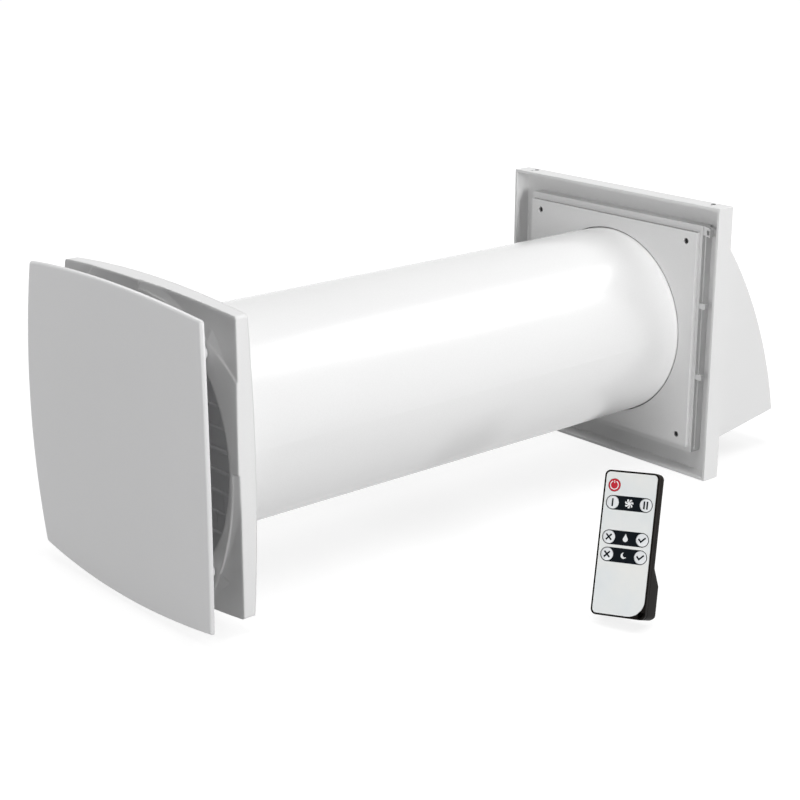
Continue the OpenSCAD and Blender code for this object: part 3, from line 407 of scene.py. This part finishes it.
slotFinish = {
    "panel_white": "panelWhite", "housing_white": "housingWhite", "inner_grey": "innerGrey",
    "duct_white": "ductWhite", "foam_grey": "foamGrey", "filter_media": "filterFelt",
    "ceramic": "firedClay", "black_plastic": "blackPlastic", "steel": "steel",
    "copper": "copperWire", "magnet": "magnetGrey", "circuit_board": "circuitBoard",
    "overlay_silver": "overlayFilm", "key_white": "keyWhite", "key_red": "keyRed",
    "dark_lens": "darkLens", "rubber_grey": "rubberGrey",
}
nodeFinish = {"indoor_housing": "housingRound"}
slotOf = {part["node"]: part["material_slot"] for part in frame["record"]["subparts"]}
bodies = frame["record"]["behaviour"]["bodies"]
bodyOf = {name: body for body, names in bodies.items() for name in names}

for node, slot in slotOf.items():
    mesh = nodes[node].data
    mesh.materials.clear()
    mesh.materials.append(finishes[nodeFinish.get(node, slotFinish[slot])])
print("finishes set on the nodes")

mergeGap = 0.000002       # vertices closer than this are one
toRight, toRoom, upward = Vector((1, 0, 0)), Vector((0, -1, 0)), Vector((0, 0, 1))


def linkPiece(name, mesh, body, finish):
    piece = bpy.data.objects.new(name, mesh)
    bpy.context.scene.collection.objects.link(piece)
    mesh.materials.clear()
    mesh.materials.append(finishes[finish])
    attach(piece, body)
    return piece


def smoothFaces(mesh):
    for face in mesh.polygons:
        face.use_smooth = True


def weldedCopy(node, name):
    mesh = nodes[node].data.copy()
    mesh.name = name
    shape = bmesh.new()
    shape.from_mesh(mesh)
    bmesh.ops.remove_doubles(shape, verts=shape.verts, dist=mergeGap)
    return mesh, shape


def finishedMesh(name, shape):
    mesh = bpy.data.meshes.new(name)
    shape.to_mesh(mesh)
    shape.free()
    return mesh


# Nodes whose sharp edges are rounded: the radius on the outline, the share of it that the
# other edges get, and how many degrees an edge has to turn before it is rounded
softEdges = {
    "hoodShell": {
        "node": "outer_hood", "finish": "housingWhite", "radius": 0.00028, "rest": 0.8, "turn": 40},
    "frontShell": {
        "node": "remote_front_shell", "finish": "blackPlastic", "radius": 0.0005, "rest": 0.5,
        "turn": 40},
    "backShell": {
        "node": "remote_back_shell", "finish": "blackPlastic", "radius": 0.0007, "rest": 0.7,
        "turn": 30},
}
softLimits = {
    "flatTurn": 0.2,        # faces that turn by fewer degrees become one
    "sideShare": 0.08,      # of the width: how near an outline edge is to the side
    "sideFace": 0.3,        # a face that faces the room less than this is a side face
    "segments": 3,
}


def onOutline(edge, low, high):
    # True for an edge of the side faces that is nearer the room than the wall
    point = (edge.verts[0].co + edge.verts[1].co) / 2
    sides = (point.x - low.x, high.x - point.x, point.z - low.z, high.z - point.z)
    atSide = min(sides) < softLimits["sideShare"] * (high.x - low.x)
    facing = min(abs(face.normal.y) for face in edge.link_faces)
    return atSide and point.y < (low.y + high.y) / 2 and facing < softLimits["sideFace"]


def softenedCopy(name, setup):
    node = setup["node"]
    mesh, shape = weldedCopy(node, name)
    bmesh.ops.dissolve_limit(shape, angle_limit=math.radians(softLimits["flatTurn"]),
                             verts=shape.verts, edges=shape.edges, delimit={"NORMAL"})
    bmesh.ops.recalc_face_normals(shape, faces=shape.faces)
    weights = shape.edges.layers.float.new("bevel_weight_edge")
    low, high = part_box(node)
    turn = math.radians(setup["turn"])
    for edge in shape.edges:
        if len(edge.link_faces) == 2 and edge.calc_face_angle(0) > turn:
            edge[weights] = 1.0 if onOutline(edge, low, high) else setup["rest"]
    shape.to_mesh(mesh)
    shape.free()
    smoothFaces(mesh)
    piece = linkPiece(name, mesh, bodyOf[node], setup["finish"])
    bevel = piece.modifiers.new("roundedEdges", "BEVEL")
    bevel.width = setup["radius"]
    bevel.segments = softLimits["segments"]
    bevel.limit_method = "WEIGHT"
    bevel.use_clamp_overlap = False
    bevel.miter_outer = "MITER_ARC"
    piece.modifiers.new("evenShade", "WEIGHTED_NORMAL").keep_sharp = True
    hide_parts(node)


for name, setup in softEdges.items():
    softenedCopy(name, setup)
print("edges softened on", len(softEdges), "pieces")

frontPanel = {
    "segments": 56,
    "halfSide": 0.1082,      # from the middle to the line of a corner
    "bow": 0.0065,           # how far the middle of a side stands out beyond that line
    "drop": 0.0023,          # of the middle, behind the front of the solid
    "domeRadius": 1.526,
    "thick": 0.00243,
    "edge": (0.0022, 6),     # rounding of the front edge, and its segments
    "corner": (0.002, 5),
    "upright": 0.9,          # a corner edge runs through at least this share of the thickness
    "cornerTurn": 1.0,       # radians
    "sharpTurn": 50,         # degrees from which an edge is drawn sharp
    "sideFace": 0.3,
    "frontFace": -0.7,
}


def frontEdge(edge, setup):
    # An edge between a side face and the front
    if len(edge.link_faces) != 2:
        return False
    first, second = (face.normal.y for face in edge.link_faces)
    beside = min(abs(first), abs(second)) < setup["sideFace"]
    return beside and min(first, second) < setup["frontFace"]


def cornerEdge(edge, setup):
    run = abs(edge.verts[0].co.y - edge.verts[1].co.y)
    return (len(edge.link_faces) == 2 and edge.calc_face_angle(0) > setup["cornerTurn"]
            and run > setup["thick"] * setup["upright"])


def roundEdges(shape, edges, radius, segments):
    bmesh.ops.bevel(shape, geom=edges, offset=radius, offset_type="OFFSET", segments=segments,
                    profile=0.5, affect="EDGES", material=-1)


def addFrontPanel(setup):
    node = "front_panel"
    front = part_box(node)[0].y + setup["drop"]
    side, bow, dome = setup["halfSide"], setup["bow"], setup["domeRadius"]
    count = setup["segments"]
    shape = bmesh.new()
    bmesh.ops.create_grid(shape, x_segments=count, y_segments=count, size=1.0)
    for vert in shape.verts:
        across, up = vert.co.x, vert.co.y
        right = across * (side + bow * (1 - up ** 2))
        height = up * (side + bow * (1 - across ** 2))
        sag = dome - math.sqrt(dome ** 2 - right ** 2 - height ** 2)
        vert.co = (right, front + sag, height)
    back = bmesh.ops.extrude_face_region(shape, geom=shape.faces[:], use_keep_orig=True)
    backVerts = [item for item in back["geom"] if isinstance(item, bmesh.types.BMVert)]
    bmesh.ops.translate(shape, verts=backVerts, vec=(0, setup["thick"], 0))
    bmesh.ops.recalc_face_normals(shape, faces=shape.faces)
    roundEdges(shape, [edge for edge in shape.edges if cornerEdge(edge, setup)], *setup["corner"])
    roundEdges(shape, [edge for edge in shape.edges if frontEdge(edge, setup)], *setup["edge"])
    for edge in shape.edges:
        edge.smooth = edge.calc_face_angle(0) < math.radians(setup["sharpTurn"])
    mesh = finishedMesh("frontPanelShell", shape)
    smoothFaces(mesh)
    piece = linkPiece("frontPanelShell", mesh, bodyOf[node], "panelWhite")
    piece.modifiers.new("evenShade", "WEIGHTED_NORMAL").keep_sharp = True
    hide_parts(node)


addFrontPanel(frontPanel)
print("front panel shaped")


def turnedMesh(name, place, axis, across, profile, steps=48):
    # profile: distances from the axis and heights along it, from the top down
    shape = bmesh.new()
    verts = [shape.verts.new(place + across * radius + axis * height) for radius, height in profile]
    edges = [shape.edges.new(pair) for pair in zip(verts, verts[1:])]
    bmesh.ops.spin(shape, geom=verts + edges, cent=place, axis=axis, angle=math.tau, steps=steps,
                   use_merge=True)
    bmesh.ops.remove_doubles(shape, verts=shape.verts, dist=mergeGap)
    bmesh.ops.recalc_face_normals(shape, faces=shape.faces)
    mesh = finishedMesh(name, shape)
    smoothFaces(mesh)
    return mesh


# The outdoor plate with its raised middle: the edge strip lies further back than in the solid,
# and its outline is a little smaller. Pairs are half sizes across and up.
outdoorPlate = {
    "strip": (0.0953, 0.0928),     # where the strip begins in the solid
    "middle": (0.0945, 0.092),     # where it begins here
    "solid": (0.1005, 0.098),      # outline of the solid
    "outline": (0.0972, 0.0974),   # outline here
    "step": 0.0008,                # from the strip back to the middle in the solid
    "back": 0.0041,                # how far the strip moves back
    "reach": 0.0068,               # how deep from the front the strip's edge goes
    "lugFrom": 0.08,               # height from which the corner lug begins
    "lugDrop": 0.0014,
    "gap": 0.0001,                 # places closer than this count as the same
    "facingUp": 0.9,               # from here a face of the step counts as facing up
}


def moveAcross(place, setup):
    # The steps and the outline go to their places in the two directions of the plate
    for axis, index in ((0, 0), (2, 1)):
        side = abs(place[axis])
        if abs(side - setup["strip"][index]) < setup["gap"]:
            place[axis] = math.copysign(setup["middle"][index], place[axis])
        elif abs(side - setup["solid"][index]) < setup["gap"]:
            place[axis] = math.copysign(setup["outline"][index], place[axis])


def moveBack(place, front, setup):
    sides, gap = (abs(place.x), abs(place.z)), setup["gap"]
    onStrip = any(side > start - gap for side, start in zip(sides, setup["strip"]))
    beyond = any(side > start + gap for side, start in zip(sides, setup["strip"]))
    if onStrip and place.y < front + setup["reach"]:
        atMiddle = abs(place.y - front - setup["step"]) < gap and not beyond
        place.y = front if atMiddle else place.y + setup["back"]
    elif place.y < front + setup["step"] + gap:
        place.y = front


def addOutdoorPlate(setup):
    node = "mounting_plate"
    mesh, shape = weldedCopy(node, "outdoorPlate")
    front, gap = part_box(node)[0].y, setup["gap"]
    for vert in shape.verts:
        moveBack(vert.co, front, setup)
        moveAcross(vert.co, setup)
        if vert.co.x > setup["outline"][0] + gap and vert.co.z > setup["lugFrom"]:
            vert.co.z -= setup["lugDrop"]
    bmesh.ops.recalc_face_normals(shape, faces=shape.faces)
    shape.to_mesh(mesh)
    shape.free()
    if "custom_normal" in mesh.attributes:
        mesh.attributes.remove(mesh.attributes["custom_normal"])
    piece = linkPiece("outdoorPlate", mesh, bodyOf[node], "plateWhite")
    # The up-facing faces of the top step get the darker grey, which is painted shade along the step
    mesh.materials.append(finishes["stepShadeGrey"])
    for face in mesh.polygons:
        face.use_smooth = False
        onStep = abs(face.center.z - setup["middle"][1]) < gap
        if onStep and face.normal.z > setup["facingUp"]:
            face.material_index = 1
    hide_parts(node)


addOutdoorPlate(outdoorPlate)
print("outdoor plate shaped")

# Dark plugs in the holes of the outdoor plate, which stand for wall plugs and paint the shade deep in the holes,
# and the screws on top of the hood
mounts = {mount["name"]: mount for mount in frame["record"]["mounts"]}
holeShadePlugs = {
    "corners": ((1, 1), (-1, 1), (-1, -1), (1, -1)),      # to the right and up
    "depth": 0.0012, "length": 0.004, "gap": 0.0001, "steps": 24,
}
hoodScrews = {
    "radius": 0.0021, "inset": 0.0058, "side": 0.0159, "steps": 32,
    "rise": 0.00015, "root": -0.0015,
    # shares of the radius and of the rise, from the middle of the slot to the edge
    "head": ((0, 0.2), (0.45, 0.2), (0.55, 1), (0.9, 1), (1, 0)),
}


def addHoleShadePlugs(setup):
    screws = mounts["outdoor_screws"]
    dims = screws["dims"]
    radius = dims["hole_r_mm"] / 1000 - setup["gap"]
    across, up = dims["spacing_x_mm"] / 2000, dims["spacing_y_mm"] / 2000
    centre = Vector(screws["pos_m"])
    profile = [(0, 0), (radius, 0), (radius, -setup["length"]), (0, -setup["length"])]
    for count, (right, height) in enumerate(setup["corners"]):
        # Each plug is a dark piece a little way into a hole: a wall plug, and painted shade of the hole's depth
        place = centre + Vector((right * across, setup["depth"], height * up))
        name = "wallPlug%d" % (count + 1)
        mesh = turnedMesh(name, place, toRoom, toRight, profile, setup["steps"])
        linkPiece(name, mesh, bodyOf["mounting_plate"], "rubberGrey")


def addHoodScrews(setup):
    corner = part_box("outer_hood")[1]
    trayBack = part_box("outdoor_grille")[0].y
    radius = setup["radius"]
    profile = [(radius * share, setup["rise"] * level) for share, level in setup["head"]]
    profile += [(radius, setup["root"]), (0, setup["root"])]
    for count, side in enumerate((1, -1)):
        place = Vector((side * (corner.x - setup["side"]), trayBack - setup["inset"], corner.z))
        name = "hoodScrew%d" % (count + 1)
        mesh = turnedMesh(name, place, upward, toRight, profile, setup["steps"])
        linkPiece(name, mesh, bodyOf["outer_hood"], "rubberGrey")


addHoleShadePlugs(holeShadePlugs)
addHoodScrews(hoodScrews)
print("plugs and screws set")

# The remote's own directions: out of its face, up along it, and to the right
faceOut = -Vector(joints["remote_key_power_press"]["axis"]).normalized()
faceUp = -Vector(joints["battery_door_slide"]["axis"]).normalized()
faceRight = faceUp.cross(faceOut).normalized()


def spread(node, direction):
    values = [vertex.co.dot(direction) for vertex in nodes[node].data.vertices]
    return min(values), max(values)


def faceSpot(node):
    # Middle of a node seen from the front of the remote, at its highest level
    right = sum(spread(node, faceRight)) / 2
    up = sum(spread(node, faceUp)) / 2
    return faceRight * right + faceUp * up + faceOut * spread(node, faceOut)[1]


def onFace(place, right, up, out=0.0):
    return place + faceRight * right + faceUp * up + faceOut * out


def halfWidth(node):
    low, high = spread(node, faceRight)
    return (high - low) / 2


keyCap = {
    "dome": 0.00016,       # how much higher the middle is than the edge
    "domeSteps": 6,
    "edge": 0.00022,       # rounding where the top meets the side
    "edgeTurns": (30, 60, 90),
    "depth": 0.0020,       # height of the cap
    "stem": 0.0016,        # radius of the stem under it
}


def domeDrop(distance, radius):
    return -keyCap["dome"] * (distance / radius) ** 2


def addKey(node, finish):
    radius, edge = halfWidth(node), keyCap["edge"]
    floorLevel, top = spread(node, faceOut)
    flat, steps = radius - edge, keyCap["domeSteps"]
    ring = [flat * step / steps for step in range(steps + 1)]
    profile = [(distance, domeDrop(distance, radius)) for distance in ring]
    edgeDrop = domeDrop(flat, radius)
    for turn in map(math.radians, keyCap["edgeTurns"]):
        profile.append((flat + edge * math.sin(turn), edgeDrop - edge * (1 - math.cos(turn))))
    profile += [(radius, -keyCap["depth"]), (keyCap["stem"], -keyCap["depth"]),
                (keyCap["stem"], floorLevel - top), (0, floorLevel - top)]
    name = "cap_" + node
    mesh = turnedMesh(name, faceSpot(node), faceOut, faceRight, profile)
    piece = linkPiece(name, mesh, bodyOf[node], finish)
    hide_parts(node)


# The white keys stand in rows of two, each row on one dark field
keyRows = {
    "Speed": ("remote_key_speed_1", "remote_key_speed_2"),
    "Humidity": ("remote_key_humidity_off", "remote_key_humidity_on"),
    "Night": ("remote_key_night_off", "remote_key_night_on"),
}
addKey("remote_key_power", "keyRed")
for pair in keyRows.values():
    for node in pair:
        addKey(node, "keyWhite")
print("key caps turned")


def evenLoop(points, step=0.0004):
    # The same closed line with points at even distances
    loop = []
    for start, end in zip(points, points[1:] + points[:1]):
        count = max(1, round(math.dist(start, end) / step))
        run, climb = end[0] - start[0], end[1] - start[1]
        loop += [(start[0] + run * part / count, start[1] + climb * part / count)
                 for part in range(count)]
    return loop


def arcPoints(centre, radius, fromAngle, toAngle, count):
    points = []
    for step in range(count + 1):
        turn = math.radians(fromAngle + (toAngle - fromAngle) * step / count)
        points.append((centre[0] + radius * math.cos(turn), centre[1] + radius * math.sin(turn)))
    return points


def strokeLoop(points, width, sharpest=0.4):
    # Outline of a line of some width through the points, with square ends
    # sharpest: keeps the outline from running far out at a sharp bend
    left = []
    right = []
    for place, point in enumerate(points):
        before = Vector(points[max(place - 1, 0)])
        after = Vector(points[min(place + 1, len(points) - 1)])
        here = Vector(point)
        inward = (here - before).normalized() if place else (after - here).normalized()
        onward = (after - here).normalized() if place < len(points) - 1 else inward
        side = Vector((-(inward + onward).y, (inward + onward).x)).normalized()
        reach = width / 2 / max(sharpest, side.dot(Vector((-inward.y, inward.x))))
        left.append(tuple(here + side * reach))
        right.append(tuple(here - side * reach))
    return left + right[::-1]


def addInk(name, place, shapes, body, finish, lift, dome=0.0):
    # shapes: lists of closed lines; in each the first is the outline and the others are holes
    # dome: radius of the key whose domed top the ink follows
    shape = bmesh.new()
    for loops in shapes:
        edges = []
        for loop in loops:
            verts = []
            for right, up in loop:
                drop = domeDrop(math.hypot(right, up), dome) if dome else 0
                verts.append(shape.verts.new(onFace(place, right, up, lift + drop)))
            edges += [shape.edges.new(pair) for pair in zip(verts, verts[1:] + verts[:1])]
        bmesh.ops.triangle_fill(shape, use_beauty=True, edges=edges, normal=faceOut)
    raised = bmesh.ops.extrude_face_region(shape, geom=list(shape.faces), use_keep_orig=True)
    tops = [item for item in raised["geom"] if isinstance(item, bmesh.types.BMVert)]
    bmesh.ops.translate(shape, verts=tops, vec=faceOut * remoteInk["thick"])
    bmesh.ops.recalc_face_normals(shape, faces=shape.faces)
    linkPiece(name, finishedMesh(name, shape), body, finish)


remoteInk = {
    "lift": 0.00003, "thick": 0.00004,
    "signRise": 0.9,             # of the thickness, from the dark field to the sign on it
    "keyLift": 0.00004,          # above the domed top of a key
    "pillEdge": 0.00056,         # ring round the keys
    "keyHole": 0.00018,          # gap between a key and the ink
    "stroke": 0.00112,
    "barHalf": 0.0027, "barShift": 0.0011,
    "crossHalf": 0.0024,
    "tick": ((-0.0026, 0.0007), (-0.0007, -0.0013), (0.0025, 0.0017)),
    # one blade of the fan: degrees, radius and share of it, round the blade
    "fanBlade": ((0, "root", 1), (8, "root", 1.9), (1, "radius", 0.72), (-8, "radius", 0.9),
                 (3, "radius", 1), (20, "radius", 0.98), (31, "radius", 0.74), (38, "root", 1.9)),
    # sides of the drop: shares of its radius across and up from its middle
    "dropSides": ((0.62, 0.95), (0.22, 1.62)),
}


def pillShape(half, radius, hole, endSteps=24, holeSteps=48):
    rightEnd = arcPoints((half, 0), radius, -90, 90, endSteps)
    leftEnd = arcPoints((-half, 0), radius, 90, 270, endSteps)
    last = 360 - 360 / holeSteps
    holes = [arcPoints((side * half, 0), hole, 0, last, holeSteps - 1) for side in (-1, 1)]
    return [rightEnd + leftEnd] + holes


def fanShape(radius=0.0032, root=0.0009, blades=7):
    outline = []
    for blade in range(blades):
        for angle, base, share in remoteInk["fanBlade"]:
            turn = math.radians(360 / blades * blade + angle)
            distance = share * (root if base == "root" else radius)
            outline.append((distance * math.cos(turn), distance * math.sin(turn)))
    return [outline]


def dropShape(radius=0.0018, tip=0.0031, low=-0.0007, tipHalf=0.0001, belly=(-205, 25, 26)):
    # belly: the angles of the arc below, and its steps
    right = [(radius * across, low + radius * up) for across, up in remoteInk["dropSides"]]
    left = [(-across, up) for across, up in right[::-1]]
    below = arcPoints((0, low), radius, *belly)
    return [below + right + [(tipHalf, tip), (-tipHalf, tip)] + left]


def moonShape(radius=0.0021, bite=0.0017, shift=(0.0010, 0.0006), steps=(36, 28)):
    # A disc less a smaller one to the upper right
    span = math.hypot(*shift)
    along = (span ** 2 + radius ** 2 - bite ** 2) / (2 * span)
    half = math.degrees(math.acos(along / radius))
    facing = math.degrees(math.atan2(shift[1], shift[0]))
    inner = math.degrees(math.acos((along - span) / bite))
    outer = arcPoints((0, 0), radius, facing + half, facing + 360 - half, steps[0])
    cut = arcPoints(shift, bite, facing - inner, facing - 360 + inner, steps[1])
    return [outer + cut[1:-1]]


def barShape(right):
    half = remoteInk["barHalf"]
    return [evenLoop(strokeLoop([(right, -half), (right, half)], remoteInk["stroke"]))]


def crossShape():
    half, width = remoteInk["crossHalf"], remoteInk["stroke"]
    arm = width / 2 * math.sqrt(2)
    reach = half - width / 2 / math.sqrt(2)
    corner = width / math.sqrt(2)
    near, far = reach - corner / 2, reach + corner / 2
    points = []
    for cosine, sine in ((1, 0), (0, 1), (-1, 0), (0, -1)):
        for right, up in ((arm, 0), (far, near), (near, far)):
            points.append((right * cosine - up * sine, right * sine + up * cosine))
    return [evenLoop(points)]


def tickShape():
    return [evenLoop(strokeLoop(list(remoteInk["tick"]), remoteInk["stroke"]))]


powerSign = {
    "radius": 0.0029, "width": 0.00062, "steps": 44,
    "opening": 26,               # degrees from the top on each side
    "bar": ((0, 0.0014), (0, 0.0033)), "barShare": 0.85,
}


def powerShape(setup):
    ring = arcPoints((0, 0), setup["radius"], 90 + setup["opening"], 450 - setup["opening"],
                     setup["steps"])
    bar = strokeLoop(list(setup["bar"]), setup["width"] * setup["barShare"])
    return [[strokeLoop(ring, setup["width"])], [evenLoop(bar)]]


filmTop = spread("remote_overlay", faceOut)[1]
rowSigns = {"Speed": fanShape(), "Humidity": dropShape(), "Night": moonShape()}
for row, (leftKey, rightKey) in keyRows.items():
    leftSpot, rightSpot = faceSpot(leftKey), faceSpot(rightKey)
    middle = (leftSpot + rightSpot) / 2
    middle += faceOut * (filmTop - middle.dot(faceOut))
    keyRadius = halfWidth(leftKey)
    half = (rightSpot - leftSpot).length / 2
    pill = pillShape(half, keyRadius + remoteInk["pillEdge"], keyRadius + remoteInk["keyHole"])
    addInk("pill" + row, middle, [pill], "remote", "printBlack", remoteInk["lift"])
    addInk("sign" + row, middle, [rowSigns[row]], "remote", "printWhite",
           remoteInk["lift"] + remoteInk["thick"] * remoteInk["signRise"])

barShift = remoteInk["barShift"]
keyMarks = {
    "remote_key_speed_1": [barShape(0)],
    "remote_key_speed_2": [barShape(-barShift), barShape(barShift)],
    "remote_key_humidity_off": [crossShape()],
    "remote_key_humidity_on": [tickShape()],
    "remote_key_night_off": [crossShape()],
    "remote_key_night_on": [tickShape()],
}
for node, marks in keyMarks.items():
    addInk("mark_" + node, faceSpot(node), marks, bodyOf[node], "printBlack",
           remoteInk["keyLift"], keyRadius)
powerKey = "remote_key_power"
addInk("mark_" + powerKey, faceSpot(powerKey), powerShape(powerSign), bodyOf[powerKey],
       "printWhite", remoteInk["keyLift"], keyRadius)
print("remote printed")

# The blank key places that show through the film: columns count from the middle one, and
# rows from the power key
filmBumps = {
    "height": 0.00005, "domeSteps": 6, "turnSteps": 32,
    "places": ((0, 0), (1, 0), (-1, 2), (0, 2), (1, 2), (-1, 5), (0, 5), (1, 5),
               (-1, 6), (0, 6), (1, 6)),
}


def addFilmBumps(setup):
    corner = faceSpot("remote_key_power")
    right = faceSpot("remote_key_speed_2") - faceSpot("remote_key_speed_1")
    down = faceSpot("remote_key_speed_1") - corner
    level = filmTop - corner.dot(faceOut)
    steps = setup["domeSteps"]
    profile = [(keyRadius * step / steps, setup["height"] * (1 - (step / steps) ** 2))
               for step in range(steps + 1)]
    shape = bmesh.new()
    for column, row in setup["places"]:
        place = corner + right * (column + 1) / 2 + down * row + faceOut * level
        bump = turnedMesh("bump", place, faceOut, faceRight, profile, setup["turnSteps"])
        shape.from_mesh(bump)
        bpy.data.meshes.remove(bump)
    mesh = finishedMesh("filmBumps", shape)
    smoothFaces(mesh)
    linkPiece("filmBumps", mesh, "remote", "overlayFilm")


addFilmBumps(filmBumps)
print("film bumps raised")

studio = {
    "floorSize": 60.0, "floorDrop": 0.0004, "floorMiddle": 0.2,
    "target": (0, 0.22, 0),       # where the lamps point
    "floorGlow": 0.8, "floorTone": 0.3, "floorBounce": 0.4,
    "glowReach": (0.7, 1.8),      # the glow rises to white between these distances
    "worldLight": 0.0,
    "lamps": {
        "topLamp": {"place": (0.2, 0.1, 2.8), "size": 1.4, "power": 25.0},
        "sideLamp": {"place": (2.8, 0.1, 0.42), "size": 0.9, "power": 53.0},
        "faceLamp": {"place": (0.3, -2.7, 0.32), "size": 0.8, "power": 27.5},
        "slopeLamp": {"place": (0.4, -1.7, 2.3), "size": 1.4, "power": 9.0},
        "leftLamp": {"place": (-1.8, 0.2, 2.0), "size": 1.4, "power": 25.0},
        "backLamp": {"place": (0.9, 2.1, 2.0), "size": 1.4, "power": 32.0},
    },
}


def rayMask(tree):
    # 1 for camera, glossy and transmission rays
    path = tree.nodes.new("ShaderNodeLightPath")
    first = addNode(tree, "ShaderNodeMath", operation="MAXIMUM")
    second = addNode(tree, "ShaderNodeMath", operation="MAXIMUM")
    tree.links.new(path.outputs["Is Camera Ray"], first.inputs[0])
    tree.links.new(path.outputs["Is Glossy Ray"], first.inputs[1])
    tree.links.new(first.outputs[0], second.inputs[0])
    tree.links.new(path.outputs["Is Transmission Ray"], second.inputs[1])
    return second.outputs[0]


def mixByRay(tree, lighting, seen, output):
    # seen: what camera, glossy and transmission rays meet
    mix = tree.nodes.new("ShaderNodeMixShader")
    tree.links.new(rayMask(tree), mix.inputs[0])
    tree.links.new(lighting.outputs[0], mix.inputs[1])
    tree.links.new(seen.outputs[0], mix.inputs[2])
    tree.links.new(mix.outputs[0], output.inputs["Surface"])


def greyShader(tree, kind, tone):
    node = tree.nodes.new(kind)
    node.inputs["Color"].default_value = (tone, tone, tone, 1)
    return node


def addFloor(setup):
    # Glowing paper where it is seen, and a plain grey one for the light that bounces
    shape = bmesh.new()
    bmesh.ops.create_grid(shape, x_segments=1, y_segments=1, size=setup["floorSize"] / 2)
    level = cadBounds[0][2] - setup["floorDrop"]
    bmesh.ops.translate(shape, verts=shape.verts, vec=(0, setup["floorMiddle"], level))
    mesh = finishedMesh("studioFloor", shape)
    floor = bpy.data.objects.new("studioFloor", mesh)
    bpy.context.scene.collection.objects.link(floor)
    material, tree, output = newMaterial("floorPaper")
    plain = greyShader(tree, "ShaderNodeBsdfDiffuse", setup["floorBounce"])
    seen = greyShader(tree, "ShaderNodeBsdfDiffuse", setup["floorTone"])
    glow = greyShader(tree, "ShaderNodeEmission", 1.0)
    place = tree.nodes.new("ShaderNodeTexCoord")
    reach = addNode(tree, "ShaderNodeVectorMath", operation="LENGTH")
    tree.links.new(place.outputs["Object"], reach.inputs[0])
    near, far = setup["glowReach"]
    tree.links.new(mapValue(tree, reach.outputs["Value"], setup["floorGlow"], 1.0, near, far),
                   glow.inputs["Strength"])
    both = tree.nodes.new("ShaderNodeAddShader")
    tree.links.new(seen.outputs[0], both.inputs[0])
    tree.links.new(glow.outputs[0], both.inputs[1])
    mixByRay(tree, plain, both, output)
    mesh.materials.append(material)


def addWorld(setup):
    # White where it is seen; the lamps alone light the object
    world = bpy.data.worlds.new("studioWorld")
    bpy.context.scene.world = world
    world.use_nodes = True
    tree = world.node_tree
    tree.nodes.clear()
    output = tree.nodes.new("ShaderNodeOutputWorld")
    light = greyShader(tree, "ShaderNodeBackground", 1.0)
    light.inputs["Strength"].default_value = setup["worldLight"]
    seen = greyShader(tree, "ShaderNodeBackground", 1.0)
    mixByRay(tree, light, seen, output)


def addLamp(name, setup, target):
    data = bpy.data.lights.new(name, "AREA")
    data.shape = "SQUARE"
    data.size = setup["size"]
    data.energy = setup["power"]
    lamp = bpy.data.objects.new(name, data)
    bpy.context.scene.collection.objects.link(lamp)
    lamp.location = setup["place"]
    direction = Vector(target) - lamp.location
    lamp.rotation_euler = direction.to_track_quat("-Z", "Y").to_euler()


addFloor(studio)
addWorld(studio)
for name, setup in studio["lamps"].items():
    addLamp(name, setup, studio["target"])
bpy.context.scene.view_settings.view_transform = "Standard"
print("studio set")
